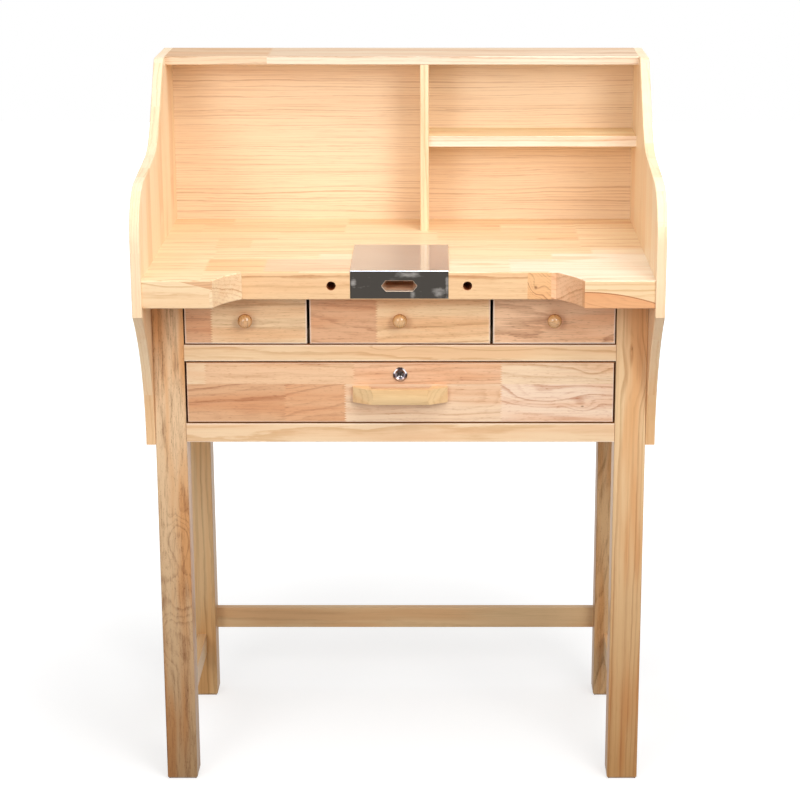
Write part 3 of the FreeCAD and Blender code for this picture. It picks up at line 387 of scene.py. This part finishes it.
# ---- stretchers ----------------
# Three thin pine rails low down between the legs, tenoned into them. Straight-grained stock,
# planed and lacquered like the legs.
stretcher_wood = {"Ring": 4.5, "Pith": 110, "Lean": 0.02, "Warp": 5, "Contrast": 0.3,
                  "Streak": 0.7, "Fibre": 0.3, "Fleck": 0.1, "Flush": 0.5}
across_facing_front = turned(-90, 0, 0)
along_facing_side = turned(90, 90, 0)
for node, turn, middle in (("rear_stretcher", across_facing_front, (0, 239, 138)),
                           ("side_stretcher_left", along_facing_side, (-360, 40, 100)),
                           ("side_stretcher_right", along_facing_side, (360, 40, 100))):
    dress(node, pine("pine_" + node, turn, middle, stretcher_wood, [("#dab78a", "#a67e54")]))

# ---- rails and apron ----------------
# The rails above and below the wide drawer, and the apron that closes the carcass at the back.
# Pale, nearly straight-grained pine with a faint flame where the board came near the heart.
rail_wood = {"Ring": 4.5, "Pith": 60, "Lean": 0.05, "Warp": 14, "Contrast": 0.7, "Streak": 0.6,
             "Fibre": 0.5, "Fleck": 0.1, "Flush": 0.4, "Length": 1.5}
# the rails' faces in the drawer openings are darkened with painted shade, and rim gives their front
# edges a painted highlight
rail_shade = (570, 740, "#c09468", "#c09468", 0.1)
dress("middle_rail", pine("pine_middle_rail", across_facing_front, (0, -144, 722), rail_wood,
                          [("#eecca2", "#ca9a68")], inner=rail_shade,
                          rim=(-350, 350, 709, 735, 0.35),
                          swirls=[((-24, -144, 731), (40, 40, 9), 7, 0.0),
                                  ((150, -144, 738), (110, 40, 16), 9, 0.0)]))
dress("bottom_rail", pine("pine_bottom_rail", across_facing_front, (0, -144, 593), rail_wood,
                          [("#f0cfa8", "#cd9c66")], inner=rail_shade,
                          rim=(-350, 350, 577, 608, 0.35)))
dress("rear_apron", pine("pine_rear_apron", across_facing_front, (0, 245, 700), rail_wood,
                         [("#f0cba0", "#cf9c66")]))

# ---- side panels ----------------
# Shaped panels sawn from edge-glued pine strips whose grain runs upwards, so the growth rings
# show as fine upright lines inside and as slanting lines where the curves cut across them.

# finger joints: half a finger's width in mm, and its length for each mm of that
finger_half_width = 2.0
strip_finger_slant = 4.5


def glued_strips(width, length, seed):
    """Finger-jointed strips of that width and length, in mm, in seven tones at random."""
    def number(tree, place):
        parts = add(tree, "SeparateXYZ", {0: place}).outputs
        row = add(tree, "Math", {0: parts["Y"], 1: width}, operation="DIVIDE")
        row = add(tree, "Math", {0: row}, operation="FLOOR")
        luck = add(tree, "Math", {0: row, 1: seed}, operation="ADD")
        luck = add(tree, "TexWhiteNoise", {"W": luck}, noise_dimensions="1D")
        finger = add(tree, "Math", {0: parts["Y"], 1: finger_half_width}, operation="PINGPONG")
        jagged = add(tree, "Math", {0: finger, 1: strip_finger_slant, 2: parts["X"]},
                     operation="MULTIPLY_ADD")
        # each row's joints are shifted at random
        piece = add(tree, "Math", {0: jagged, 1: length}, operation="DIVIDE")
        piece = add(tree, "Math", {0: luck, 1: 7.0, 2: piece}, operation="MULTIPLY_ADD")
        piece = add(tree, "Math", {0: piece}, operation="FLOOR")
        both = add(tree, "CombineXYZ", {0: row, 1: piece, 2: seed})
        pick = add(tree, "TexWhiteNoise", {"Vector": both}, noise_dimensions="3D")
        # a little under seven, so that the tone is a whole number from 0 to 6
        tone = add(tree, "Math", {0: pick, 1: 6.99}, operation="MULTIPLY")
        tone = add(tree, "Math", {0: tone}, operation="FLOOR")
        lower_edge = add(tree, "Math", {0: row, 1: width}, operation="MULTIPLY")
        return add(tree, "CombineXYZ", {0: tone, 1: lower_edge, 2: piece})
    return number


panel_wood = {"Ring": 5.5, "Pith": 50, "Lean": 0.04, "Warp": 10, "Contrast": 0.36, "Streak": 0.25,
              "Fibre": 0.36, "Fleck": 0.12, "Flush": 0.15}
panel_shades = [("#f9e2be", "#dba872"), ("#f9e0bb", "#d8a470"), ("#f8dcb6", "#d6a16c"),
                ("#fae4c3", "#dfb07c"), ("#f9ddb8", "#d6a26e"), ("#f9e1bd", "#d9a66e"),
                ("#f7dab3", "#d19b69")]
strip_width, strip_length = 52, 620
# each panel darkens downwards with painted shade, apart from its outer face
for node, seed, lower_shade, side in (("side_panel_left", 3.0, "#f5e5d4", -1.0),
                                   ("side_panel_right", 11.0, "#e4c8aa", 1.0)):
    dress(node, pine("pine_" + node, up_facing_side, (0, 0, 860), panel_wood, panel_shades,
                     board=glued_strips(strip_width, strip_length, seed),
                     foot=(lower_shade, 860, 640, side)))

# ---- worktop ----------------
# A thick slab glued up from short finger-jointed strips of pale pine, planed and lacquered.
# The belly cut-out was sawn and sanded, so rings and joints show on its edge too.
board_finger_slant = 2.2


def laid_boards(rows):
    """Boards laid one by one: rows of (lower edge, tone of the first board, [(joint, tone), ...]).
    """
    def number(tree, place):
        parts = add(tree, "SeparateXYZ", {0: place}).outputs
        finger = add(tree, "Math", {0: parts["Y"], 1: finger_half_width}, operation="PINGPONG")
        jagged = add(tree, "Math", {0: finger, 1: board_finger_slant, 2: parts["X"]},
                     operation="MULTIPLY_ADD")
        laid = (0.0, 0.0, 0.0)
        for lower, tone, joints in rows:
            row = (tone, lower, 0.0)
            for joint, after in joints:
                passed = add(tree, "Math", {0: jagged, 1: float(joint)}, operation="GREATER_THAN")
                row = add(tree, "Mix", {"Factor": passed, "A": row, "B": (after, lower, joint)},
                          data_type="VECTOR")
            inside = add(tree, "Math", {0: parts["Y"], 1: float(lower)}, operation="GREATER_THAN")
            laid = add(tree, "Mix", {"Factor": inside, "A": laid, "B": row}, data_type="VECTOR")
        return laid
    return number


(pale, straw, honey, peach, pink, drawn_up, edge_pale, edge_tan, knotted, wavy, drawn_down, cream,
 ring_line, tan, sapwood) = range(15)
top_rows_from = -199.0  # the top's rows of boards lie behind this line
into_edge_row = 60.0  # moves the edge faces forward into the first row
ring_line_width = 1.6
# on the arms' edges the wood changes along sloping rings: where the arm starts, the height of
# the ring there, its slope and bend, and the tones above the ring and along it
arm_rings = ((279.0, 843.0, 0.0, -0.0015, (cream, ring_line)), (-279.0, 846.0, -0.25, 0.0, (tan,)))
arm_board = (-260.0, 9.0)  # lower edge and number of the board those tones are cut from


def slab_boards(rows):
    """Boards of the slab: its edge faces take the first row, and its top the rows behind it."""
    laid = laid_boards(rows)

    def number(tree, place):
        upward = add(tree, "TexCoord").outputs["Normal"]
        upward = add(tree, "SeparateXYZ", {0: upward}).outputs["Z"]
        top = add(tree, "Math", {0: upward, 1: 0.5}, operation="GREATER_THAN")
        parts = add(tree, "SeparateXYZ", {0: place}).outputs
        behind = add(tree, "Math", {0: parts["Y"], 1: top_rows_from}, operation="MAXIMUM")
        ahead = add(tree, "Math", {0: parts["Y"], 1: into_edge_row}, operation="SUBTRACT")
        line = add(tree, "Mix", {"Factor": top, "A": ahead, "B": behind}, data_type="FLOAT")
        found = add(tree, "CombineXYZ", {0: parts["X"], 1: line, 2: 0.0})
        laid_here = laid(tree, found)
        for start, level, slope, bend, tones_there in arm_rings:
            run = add(tree, "Math", {0: parts["X"], 1: start}, operation="SUBTRACT")
            outer = add(tree, "Math", {0: run, 1: math.copysign(1.0, start)}, operation="MULTIPLY")
            outer = add(tree, "Math", {0: outer, 1: 0.0}, operation="GREATER_THAN")
            outer = add(tree, "Math", {0: outer, 1: top}, operation="SUBTRACT")
            rise = add(tree, "Math", {0: run, 1: bend, 2: slope}, operation="MULTIPLY_ADD")
            rise = add(tree, "Math", {0: rise, 1: run, 2: level}, operation="MULTIPLY_ADD")
            above = add(tree, "Math", {0: parts["Z"], 1: rise}, operation="SUBTRACT")
            for least, tone in zip((0.0, -ring_line_width), tones_there):
                there = add(tree, "Math", {0: above, 1: least}, operation="GREATER_THAN")
                if tone == ring_line:
                    under = add(tree, "Math", {0: above, 1: 0.0}, operation="LESS_THAN")
                    there = add(tree, "Math", {0: there, 1: under}, operation="MULTIPLY")
                there = add(tree, "Math", {0: there, 1: outer}, operation="MULTIPLY")
                laid_here = add(tree, "Mix", {"Factor": there, "A": laid_here,
                                              "B": (float(tone), *arm_board)}, data_type="VECTOR")
        return laid_here
    return number


worktop_shades = [("#fae8ca", "#dcb07a"), ("#f7e0ba", "#d2a066"), ("#f5d8ae", "#cb955c"),
                  ("#f2cb9c", "#c28654"), ("#f2d0b0", "#c68c64"), ("#f4d6ae", "#bc783e", -0.35),
                  ("#f2d4ab", "#cc9a64"), ("#ecc496", "#b87844", -0.02),
                  ("#ebb985", "#964f24", 0.9), ("#f3c298", "#b8723f", 0.32),
                  ("#e4a978", "#c88a5c", 0.2), ("#efd2a8", "#d6ac78"), ("#b8784a", "#a06238"),
                  ("#e2b68c", "#b8845a"), ("#faecd6", "#e2bc8c")]
# boards of the slab from front to back, in mm from the middle; the first row is the front edge
worktop_rows = [(-330, edge_pale, [(-279, drawn_up), (-238, edge_tan), (200, knotted),
                                   (236, wavy), (279, drawn_down)]),
                (-200, straw, [(-295, straw), (-240, peach), (-150, straw), (90, pale),
                               (230, sapwood)]),
                (-180, straw, [(-295, peach), (-205, pink), (78, pale), (172, sapwood)]),
                (-152, straw, [(-295, peach), (-205, pink), (78, pale), (172, sapwood)]),
                (-92, straw, [(-290, straw), (-125, pale), (78, straw), (240, sapwood)]),
                (-50, straw, [(-290, straw), (78, straw), (305, pale)]),
                (-7, straw, [(-295, honey), (-240, straw), (140, straw), (290, straw)]),
                (60, straw, [(-200, straw), (60, honey), (290, straw)]),
                (120, honey, [(-330, honey), (-93, straw), (45, honey), (165, straw),
                              (290, straw)]),
                (187, honey, [(-283, straw), (-90, honey), (36, honey)])]
top_wood = {"Ring": 6.0, "Pith": 34, "Lean": 0.04, "Warp": 14, "Contrast": 0.8, "Streak": 0.7,
            "Fibre": 0.8, "Fleck": 0.2, "Flush": 0.3, "Length": 1.0}
dress("worktop", pine("finger_jointed_pine_worktop", (0, 0, 0), (0, 0, 838), top_wood,
                      worktop_shades, board=slab_boards(worktop_rows), roughness=0.36,
                      slopes="Dive", holes=(104, 838.5, 7.6, -185.8),
                      swirls=[((-330, -246, 862), (70, 40, 16), 12, 0.0),
                              ((208, -186, 836), (16, 30, 20), 14, 0.2),
                              ((340, -246, 826), (90, 30, 18), 8, 0.0)]))

# ---- bench plate ----------------
# A steel saddle let into the worktop. Its upper face is ground and polished to a mirror, with a
# painted highlight that brightens it towards the right; the front leaf keeps the dark mill skin,
# with pale rubbed scuffs and a bright broken edge, whose brightness is partly a painted highlight.
steel = bpy.data.materials.new("steel_ground_and_mill_skin")
tree = empty_tree(steel)
coords = add(tree, "TexCoord").outputs
millimetres = add(tree, "VectorMath", {0: coords["Object"], "Scale": 1000.0}, operation="SCALE")
spot = add(tree, "SeparateXYZ", {0: millimetres}).outputs
facing = add(tree, "SeparateXYZ", {0: coords["Normal"]}).outputs["Z"]
# the ground faces look up and lie at the top of the plate
ground_above = 859.0
ground = add(tree, "Math", {0: facing, 1: 0.3}, operation="GREATER_THAN")
upper = add(tree, "Math", {0: spot["Z"], 1: ground_above}, operation="GREATER_THAN")
ground = add(tree, "Math", {0: ground, 1: upper}, operation="MULTIPLY")
# scuffs are about 26 mm long and 11 mm high
scuff_place = add(tree, "VectorMath", {0: millimetres, 1: (1 / 26, 1 / 40, 1 / 11)},
                  operation="MULTIPLY")
scuff = add(tree, "TexNoise", {"Vector": scuff_place, "Scale": 1.0, "Detail": 6.0,
                               "Roughness": 0.75})
# where the plate was rubbed: (x, z) of the middle, half width and half height, in mm
rubbed = 0.0
for (x, z), (wide, high) in (((17, 856), (22, 5)), ((-70, 844), (5, 8)), ((60, 827), (13, 8)),
                             ((20, 824), (5, 8)), ((73, 838), (3, 22))):
    away = add(tree, "VectorMath", {0: millimetres, 1: (x, 0, z)}, operation="SUBTRACT")
    away = add(tree, "VectorMath", {0: away, 1: (1 / wide, 0, 1 / high)}, operation="MULTIPLY")
    away = add(tree, "VectorMath", {0: away}, operation="LENGTH")
    rub = add(tree, "MapRange", {"Value": away, "From Min": 0.3, "From Max": 1.3, "To Min": 0.3,
                                 "To Max": 0.0})
    rubbed = add(tree, "Math", {0: rubbed, 1: rub}, operation="MAXIMUM")
scuff = add(tree, "Math", {0: scuff, 1: rubbed}, operation="ADD")
scuffed = add(tree, "MapRange", {"Value": scuff, "From Min": 0.6, "From Max": 0.92})
# the broken edges, which turn away from the front, are bare steel with a warm painted highlight
worn_and_lit_edge = add(tree, "VectorMath", {0: coords["Normal"]}, operation="ABSOLUTE")
worn_and_lit_edge = add(tree, "SeparateXYZ", {0: worn_and_lit_edge}).outputs["Y"]
worn_and_lit_edge = add(tree, "Math", {0: worn_and_lit_edge, 1: 0.93}, operation="LESS_THAN")
skin = add(tree, "Mix", {"Factor": scuffed, "A": linear("#433f3b"), "B": linear("#8f8a85")},
           data_type="RGBA")
skin = add(tree, "Mix", {"Factor": worn_and_lit_edge, "A": skin, "B": linear("#cdb9a6")}, data_type="RGBA")
# painted highlight: the polish is brighter towards the right of the plate
across = add(tree, "MapRange", {"Value": spot["X"], "From Min": -30.0, "From Max": 60.0})
polish = add(tree, "Mix", {"Factor": across, "A": linear("#c1c8d4"), "B": linear("#d3dbe8")},
             data_type="RGBA")
colour = add(tree, "Mix", {"Factor": ground, "A": skin, "B": polish}, data_type="RGBA")
rough = add(tree, "Mix", {"Factor": ground, "A": 0.5, "B": 0.1}, data_type="FLOAT")
# a film of fine grinding haze scatters some of the light off the mirror
haze = add(tree, "Mix", {"Factor": ground, "A": 1.0, "B": 0.78}, data_type="FLOAT")
shader = add(tree, "BsdfPrincipled", {"Base Color": colour, "Roughness": rough, "Metallic": haze})
add(tree, "OutputMaterial", {"Surface": shader})
dress("bench_plate", steel)

# ---- gallery ----------------
# The back is one wide board of fine-grained wood, laid with its grain across. Divider, shelf and
# top board are solid strips; the faces of the top board and shelf that look up and down get painted
# shade and no shine, so their front edges look paler.
back_wood = {"Ring": 4.6, "Pith": 20, "Lean": 0.006, "Warp": 15, "Contrast": 0.5, "Streak": 0.5,
             "Fibre": 1.1, "Fleck": 0.14, "Flush": 0.12, "Length": 2.2}
dress("gallery_back", pine("fine_grained_gallery_back", across_facing_front, (0, 235, 560),
                           back_wood, [("#f7dcba", "#b88658")]))
board_wood = {"Ring": 5.0, "Pith": 60, "Lean": 0.04, "Warp": 8, "Contrast": 0.7, "Streak": 0.8,
              "Fibre": 0.6, "Fleck": 0.2, "Flush": 0.4, "Length": 1.5}
dress("top_board", pine("pine_top_board", (0, 0, 0), (0, 190, 1141), board_wood,
                        [("#ebceae", "#b9906a"), ("#eedcc4", "#c49c7c")], roughness=0.4,
                        inner=(1120, 1160, "#ffffff", "#f7f1ec", 0.5),
                        board=laid_boards([(120, 0, [(-215, 1)])])))
dress("gallery_shelf", pine("pine_shelf", (0, 0, 0), (210, 190, 1007), board_wood,
                            [("#f9e6d0", "#d8ac80")], inner=(900, 1100, "#ffffff", "#faf7dd", 0.5)))
dress("gallery_divider", pine("pine_divider", up_facing_side, (36, 190, 1000), board_wood,
                              [("#f8e0ba", "#d6a66e")]))

# ---- screws, plugs and dowels ----------------
# Zinc-plated wood screws under wooden plugs, and beech dowels: what holds the boards together.
# The plating is a dull silver with a faint mottle.
plated = bpy.data.materials.new("zinc_plated_steel")
tree = empty_tree(plated)
coords = add(tree, "TexCoord").outputs["Object"]
# the mottle's patches are about 1.4 mm across
mottle_place = add(tree, "Mapping", {"Vector": coords, "Scale": (700, 700, 700)})
mottle = add(tree, "TexNoise", {"Vector": mottle_place, "Scale": 1.0, "Detail": 4.0})
zinc = add(tree, "Mix", {"Factor": mottle, "A": linear("#a9abad"), "B": linear("#d7d8d6")},
           data_type="RGBA")
dull = add(tree, "MapRange", {"Value": mottle, "To Min": 0.28, "To Max": 0.42})
shader = add(tree, "BsdfPrincipled", {"Base Color": zinc, "Roughness": dull, "Metallic": 1.0})
add(tree, "OutputMaterial", {"Surface": shader})
for node in ("bench_plate_screws", "wood_screws"):
    dress(node, plated)
plug_wood = {"Ring": 2.2, "Pith": 4, "Lean": 0.0, "Warp": 1, "Contrast": 0.5, "Streak": 0.2,
             "Fibre": 0.3, "Fleck": 0.0, "Flush": 0.0}
dress("panel_plugs", pine("pine_plugs", (0, 0, 0), (0, 0, 0), plug_wood, [("#e6bd8c", "#b98857")]))
dress("gallery_dowels", pine("beech_dowels", up_facing_side, (0, 190, 1000), plug_wood,
                             [("#e3bd92", "#c79a6e")]))

# ---- deck, bearers, runners, guides and stops ----------------
# Unlacquered inside parts. The deck is plywood, the rest planed softwood strips that the drawers
# slide on, slightly dull and pale.
bare_wood = {"Ring": 5.0, "Pith": 90, "Lean": 0.04, "Warp": 6, "Contrast": 0.4, "Streak": 0.6,
             "Fibre": 0.4, "Fleck": 0.2, "Flush": 0.4}
dress("drawer_deck", pine("birch_plywood_deck", (0, 0, 0), (0, 0, 715), back_wood,
                          [("#e6c79c", "#c9a172")], roughness=0.6))
along_facing_up = turned(0, 0, -90)
for node in ("deck_bearers", "small_drawer_guides", "large_drawer_runners", "drawer_stops"):
    dress(node, pine("bare_pine_" + node, along_facing_up, (0, 0, 700), bare_wood,
                     [("#d9ba8e", "#b38a5c")], roughness=0.6))

# ---- drawer fronts ----------------
# Each front is glued up from a few finger-jointed boards that differ in colour, from pale
# cream to a reddish brown. They were planed together and lacquered.
front_wood = {"Ring": 5.5, "Pith": 55, "Lean": 0.05, "Warp": 15, "Contrast": 0.65, "Streak": 0.9,
              "Fibre": 1.1, "Fleck": 0.38, "Flush": 0.6, "Length": 0.8}
# the ends, tops and bottoms of the fronts are darkened with painted shade, so the gaps between them
# read dark
front_edge_shade = (576, 817, "#75503c", "#cfae8c", 0.1)
# the rim setting gives each front's edges a pale painted highlight
dress("left_drawer_front", pine("pine_left_drawer_front", across_facing_front, (0, -144, 776),
                                front_wood,
                                [("#dcaa83", "#96603f", 0.0), ("#f0cea4", "#b4865a", -0.03)],
                                board=laid_boards([(730, 0, [(-290, 1)])]), inner=front_edge_shade,
                                rim=(-334, -144.4, 737, 815, 0.5)))
dress("middle_drawer_front", pine("pine_middle_drawer_front", across_facing_front, (0, -144, 776),
                                  front_wood,
                                  [("#e2b088", "#a86c46", 0.14), ("#f4d0a4", "#c08e60", -0.05)],
                                  board=laid_boards([(730, 0, [(-34, 1)])]), inner=front_edge_shade,
                                  rim=(-140, 140, 737, 815, 0.45)))
dress("right_drawer_front", pine("pine_right_drawer_front", across_facing_front, (0, -144, 776),
                                 dict(front_wood, Pith=110, Ring=6.5),
                                 [("#edc39d", "#a06e4e", 0.12)],
                                 inner=front_edge_shade, rim=(144.4, 334, 737, 815, 0.6),
                                 swirls=[((290, -144, 752), (90, 40, 40), 8, 0.0)]))
# four boards in the lower row and four in the upper one
large_shades = [("#ddac83", "#a46944", -0.1), ("#e0ac82", "#a86c44", -0.16),
                ("#efcfae", "#c99a74", -0.02), ("#f2d5ba", "#bf8260", 0.08),
                ("#f2d6b2", "#d2a070", 0.0), ("#ecc29a", "#bd8358", -0.03),
                ("#ecc09a", "#b97a55", -0.08), ("#f0d2b0", "#c59468", 0.01)]
# the large front's eased edges get this painted shade too
large_front_edge_shade = front_edge_shade[:4] + (0.93,)  # its eased edges are darkened too
dress("large_drawer_front", pine("pine_large_drawer_front", across_facing_front, (0, -144, 660),
                                 front_wood, large_shades, inner=large_front_edge_shade,
                                 rim=(-334, 334, 610, 707, 0.35),
                                 board=laid_boards([(600, 0, [(-178, 1), (-84, 2), (160, 3)]),
                                                    (672, 4, [(-302, 5), (-70, 6), (160, 7)])]),
                                 swirls=[((215, -144, 650), (100, 40, 34), 15, 0.0),
                                         ((285, -144, 636), (34, 40, 18), 11, 0.1),
                                         ((300, -144, 697), (34, 40, 20), 6, 0.0),
                                         ((-235, -144, 618), (90, 40, 34), 7, 0.0)]))

# ---- drawer boxes ----------------
# Bare planed pine sides and backs, with plywood bottoms slid into grooves. Without lacquer
# the wood stays pale and dull.
for drawer, across, up in (("left_drawer", -230, 770), ("middle_drawer", 0, 770),
                           ("right_drawer", 230, 770), ("large_drawer", 0, 650)):
    sides = pine("bare_pine_" + drawer, along_facing_side, (across, 20, up), bare_wood,
                 [("#e9cba0", "#c79c6c")], roughness=0.6)
    for part in ("_side_left", "_side_right"):
        dress(drawer + part, sides)
    dress(drawer + "_back", pine("bare_pine_back_" + drawer, across_facing_front, (across, 190, up),
                                 bare_wood, [("#e9cba0", "#c79c6c")], roughness=0.6))
    dress(drawer + "_bottom", pine("birch_plywood_" + drawer, along_facing_up, (across, 20, up),
                                   back_wood, [("#e6c79c", "#c9a172")], roughness=0.55))

# ---- knobs and pull ----------------
# Small mushroom knobs turned from hardwood, and a bow pull shaped from one block. Both are
# sanded and lacquered, so they are a little glossier and yellower than the fronts.
turned_wood = {"Ring": 3.6, "Pith": 14, "Lean": 0.1, "Warp": 3, "Contrast": 0.7, "Streak": 1.6,
               "Fibre": 0.8, "Fleck": 0.3, "Flush": 0.3}
for drawer, across in (("left_drawer", -240), ("middle_drawer", 0), ("right_drawer", 240)):
    dress(drawer + "_knob", pine("turned_" + drawer + "_knob", along_facing_up, (across, -154, 776),
                                 turned_wood, [("#dfac72", "#946a3c")], roughness=0.14,
                                 crown="#c9a682", gloss=0.75))
    dress(drawer + "_knob_screw", plated)
pull_wood = {"Ring": 6.0, "Pith": 50, "Lean": 0.1, "Warp": 12, "Contrast": 0.5, "Streak": 0.5,
             "Fibre": 0.5, "Fleck": 0.1, "Flush": 0.3}
dress("pull_handle", pine("lacquered_pull", across_facing_front, (0, -160, 657), pull_wood,
                          [("#e8c492", "#bb8c5a")], roughness=0.33))
dress("pull_screws", plated)

# ---- lock ----------------
# A chromed cam lock: a dished round bezel and barrel, a plug with its keyway, and behind the front
# a nut and a flat cam. The chrome's bright patches and dark bands are painted reflections, and so
# is the darkness of the brass plug, with two painted highlights as bright spots under the keyway.
lock_height = 688.0
dish_radius = 8.0


def round_the_lock(tree):
    """Distance from the lock's axis in mm, the share of it that goes up, and the place."""
    coords = add(tree, "TexCoord").outputs["Object"]
    mm = add(tree, "VectorMath", {0: coords, "Scale": 1000.0}, operation="SCALE")
    mm = add(tree, "VectorMath", {0: mm, 1: (0, 0, lock_height)}, operation="SUBTRACT")
    flat = add(tree, "VectorMath", {0: mm, 1: (1, 0, 1)}, operation="MULTIPLY")
    away = add(tree, "VectorMath", {0: flat}, operation="LENGTH")
    up = add(tree, "SeparateXYZ", {0: flat}).outputs["Z"]
    return away, add(tree, "Math", {0: up, 1: away}, operation="DIVIDE"), flat


chrome = bpy.data.materials.new("polished_chrome_painted_reflections")
tree = empty_tree(chrome)
away, up, flat = round_the_lock(tree)
around = add(tree, "MapRange", {"Value": up, "From Min": -1.0, "From Max": 1.0})
bands = add(tree, "ValToRGB", {0: around})
# painted reflections: what each part of the bezel mirrors, from its lower side (0) to its upper
# side (1)
band_shades = ((0.0, "#a5836c"), (0.2, "#7c6256"), (0.34, "#382a28"), (0.55, "#473d42"),
               (0.66, "#f2eef2"), (0.9, "#f4f1f4"), (0.98, "#40373b"))
while len(bands.color_ramp.elements) < len(band_shades):
    bands.color_ramp.elements.new(0.5)
for index, (stop, shade) in enumerate(band_shades):
    bands.color_ramp.elements[index].position = stop
    bands.color_ramp.elements[index].color = linear(shade)
# the dish inside the bezel shows a darker painted reflection
dish = add(tree, "Math", {0: away, 1: dish_radius}, operation="LESS_THAN")
plating = add(tree, "Mix", {"Factor": dish, "A": bands, "B": linear("#857a80")}, data_type="RGBA")
marks = add(tree, "TexNoise", {"Vector": flat, "Scale": 0.4, "Detail": 2.0})
rub = add(tree, "MapRange", {"Value": marks, "To Min": 0.1, "To Max": 0.3})
shader = add(tree, "BsdfPrincipled", {"Base Color": plating, "Roughness": rub, "Metallic": 1.0})
add(tree, "OutputMaterial", {"Surface": shader})
for node in ("lock_housing", "lock_nut", "lock_cam"):
    dress(node, chrome)
dress("lock_cam_screw", plated)
plug = bpy.data.materials.new("brass_plug_painted_reflections")
tree = empty_tree(plug)
flat = round_the_lock(tree)[2]
# the plug's dark mottled colour is a painted reflection
marks = add(tree, "TexNoise", {"Vector": flat, "Scale": 0.5, "Detail": 3.0})
plug_reflection = add(tree, "MapRange", {"Value": marks, "From Min": 0.45, "From Max": 0.75})
plug_reflection = add(tree, "Mix", {"Factor": plug_reflection, "A": linear("#2c2421"), "B": linear("#7c706c")},
              data_type="RGBA")
# two painted highlights: bright spots under the keyway
mirrored = add(tree, "VectorMath", {0: flat}, operation="ABSOLUTE")
aside = add(tree, "SeparateXYZ", {0: mirrored}).outputs["X"]
below = add(tree, "SeparateXYZ", {0: flat}).outputs["Z"]
spot = add(tree, "CombineXYZ", {0: aside, 1: 0.0, 2: below})
spot = add(tree, "VectorMath", {0: spot, 1: (1.8, 0, -3.3)}, operation="DISTANCE")
spot = add(tree, "MapRange", {"Value": spot, "From Min": 1.3, "From Max": 0.7})
plug_reflection = add(tree, "Mix", {"Factor": spot, "A": plug_reflection, "B": linear("#fbf8f8")}, data_type="RGBA")
shader = add(tree, "BsdfPrincipled", {"Base Color": plug_reflection, "Roughness": 0.3, "Metallic": 1.0})
add(tree, "OutputMaterial", {"Surface": shader})
dress("lock_plug", plug)

# ---- studio ----------------
# A pale floor, a large soft lamp above and to the right of the front, a weaker one to the left,
# and an even pale surround.
floor_size = 14.0
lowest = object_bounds()[0][2]
bpy.ops.mesh.primitive_plane_add(size=floor_size, location=(0, 0, lowest))
floor = bpy.context.object
floor.name = "studio_floor"


def seen_surround(tree):
    """1 for rays that show the surround, directly or in metal, and 0 for those that light."""
    paths = add(tree, "LightPath").outputs
    seen = add(tree, "Math", {0: paths["Is Camera Ray"], 1: paths["Is Glossy Ray"]},
               operation="MAXIMUM")
    return add(tree, "Math", {0: seen, 1: paths["Is Transmission Ray"]}, operation="MAXIMUM")


# paper that scatters light evenly, without a sheen
paper = bpy.data.materials.new("white_paper_floor")
tree = empty_tree(paper)
seen = seen_surround(tree)
matt = add(tree, "BsdfDiffuse", {"Color": linear("#b4b4b4")})
# the paper glows a little where it is seen, so that only the bench's shadow stays on it
place = add(tree, "TexCoord").outputs["Object"]
reach = add(tree, "VectorMath", {0: place}, operation="LENGTH")
far = add(tree, "MapRange", {"Value": reach, "From Min": 0.5, "From Max": 1.6, "To Min": 0.62},
          interpolation_type="SMOOTHSTEP")
glow = add(tree, "Emission", {"Color": (1, 1, 1, 1), "Strength": far})
glowing = add(tree, "AddShader", {0: matt, 1: glow})
surface = add(tree, "MixShader", {0: seen, 1: matt, 2: glowing})
add(tree, "OutputMaterial", {"Surface": surface})
floor.data.materials.append(paper)

world = bpy.data.worlds.new("pale_surround")
bpy.context.scene.world = world
tree = empty_tree(world)
seen = seen_surround(tree)
upward = add(tree, "TexCoord").outputs["Generated"]
upward = add(tree, "SeparateXYZ", {0: upward}).outputs["Z"]
# more of its light comes from above
lit = add(tree, "MapRange", {"Value": upward, "To Min": 0.22, "To Max": 0.75})
strength = add(tree, "Mix", {"Factor": seen, "A": lit, "B": 1.0}, data_type="FLOAT")
around = add(tree, "Background", {"Color": (1, 1, 1, 1), "Strength": strength})
add(tree, "OutputWorld", {"Surface": around})

lamp_target_height = 0.95
for name, place, size, power in (("top_lamp", (0.5, -0.8, 2.5), 1.6, 21.0),
                                 ("key_lamp", (1.3, -2.3, 1.95), 1.2, 29.0),
                                 ("fill_lamp", (-1.4, -2.5, 1.65), 1.2, 24.0)):
    lamp = bpy.data.lights.new(name, "AREA")
    lamp.shape = "DISK"
    lamp.size = size
    lamp.energy = power
    holder = bpy.data.objects.new(name, lamp)
    holder.location = place
    aim = Vector((0, 0, lamp_target_height)) - Vector(place)
    holder.rotation_euler = aim.to_track_quat("-Z", "Y").to_euler()
    bpy.context.scene.collection.objects.link(holder)

# the camera looks along +Y, tipped down, with a little sideways shift for the framing
image_width = 800
focal_in_pixels = 2241.0
axis_right_of_middle = 40.2
camera = bpy.data.cameras.new("camera")
camera.sensor_width = 36.0
camera.lens = focal_in_pixels / image_width * camera.sensor_width
camera.shift_x = -axis_right_of_middle / image_width
camera.clip_end = 50.0
tipped_down = 15.68
viewer = bpy.data.objects.new("camera", camera)
viewer.location = (0.0624, -3.5201, 1.594)
viewer.rotation_euler = Euler((math.radians(90 - tipped_down), 0, 0))
bpy.context.scene.collection.objects.link(viewer)
bpy.context.scene.camera = viewer
bpy.context.scene.view_settings.view_transform = "Standard"
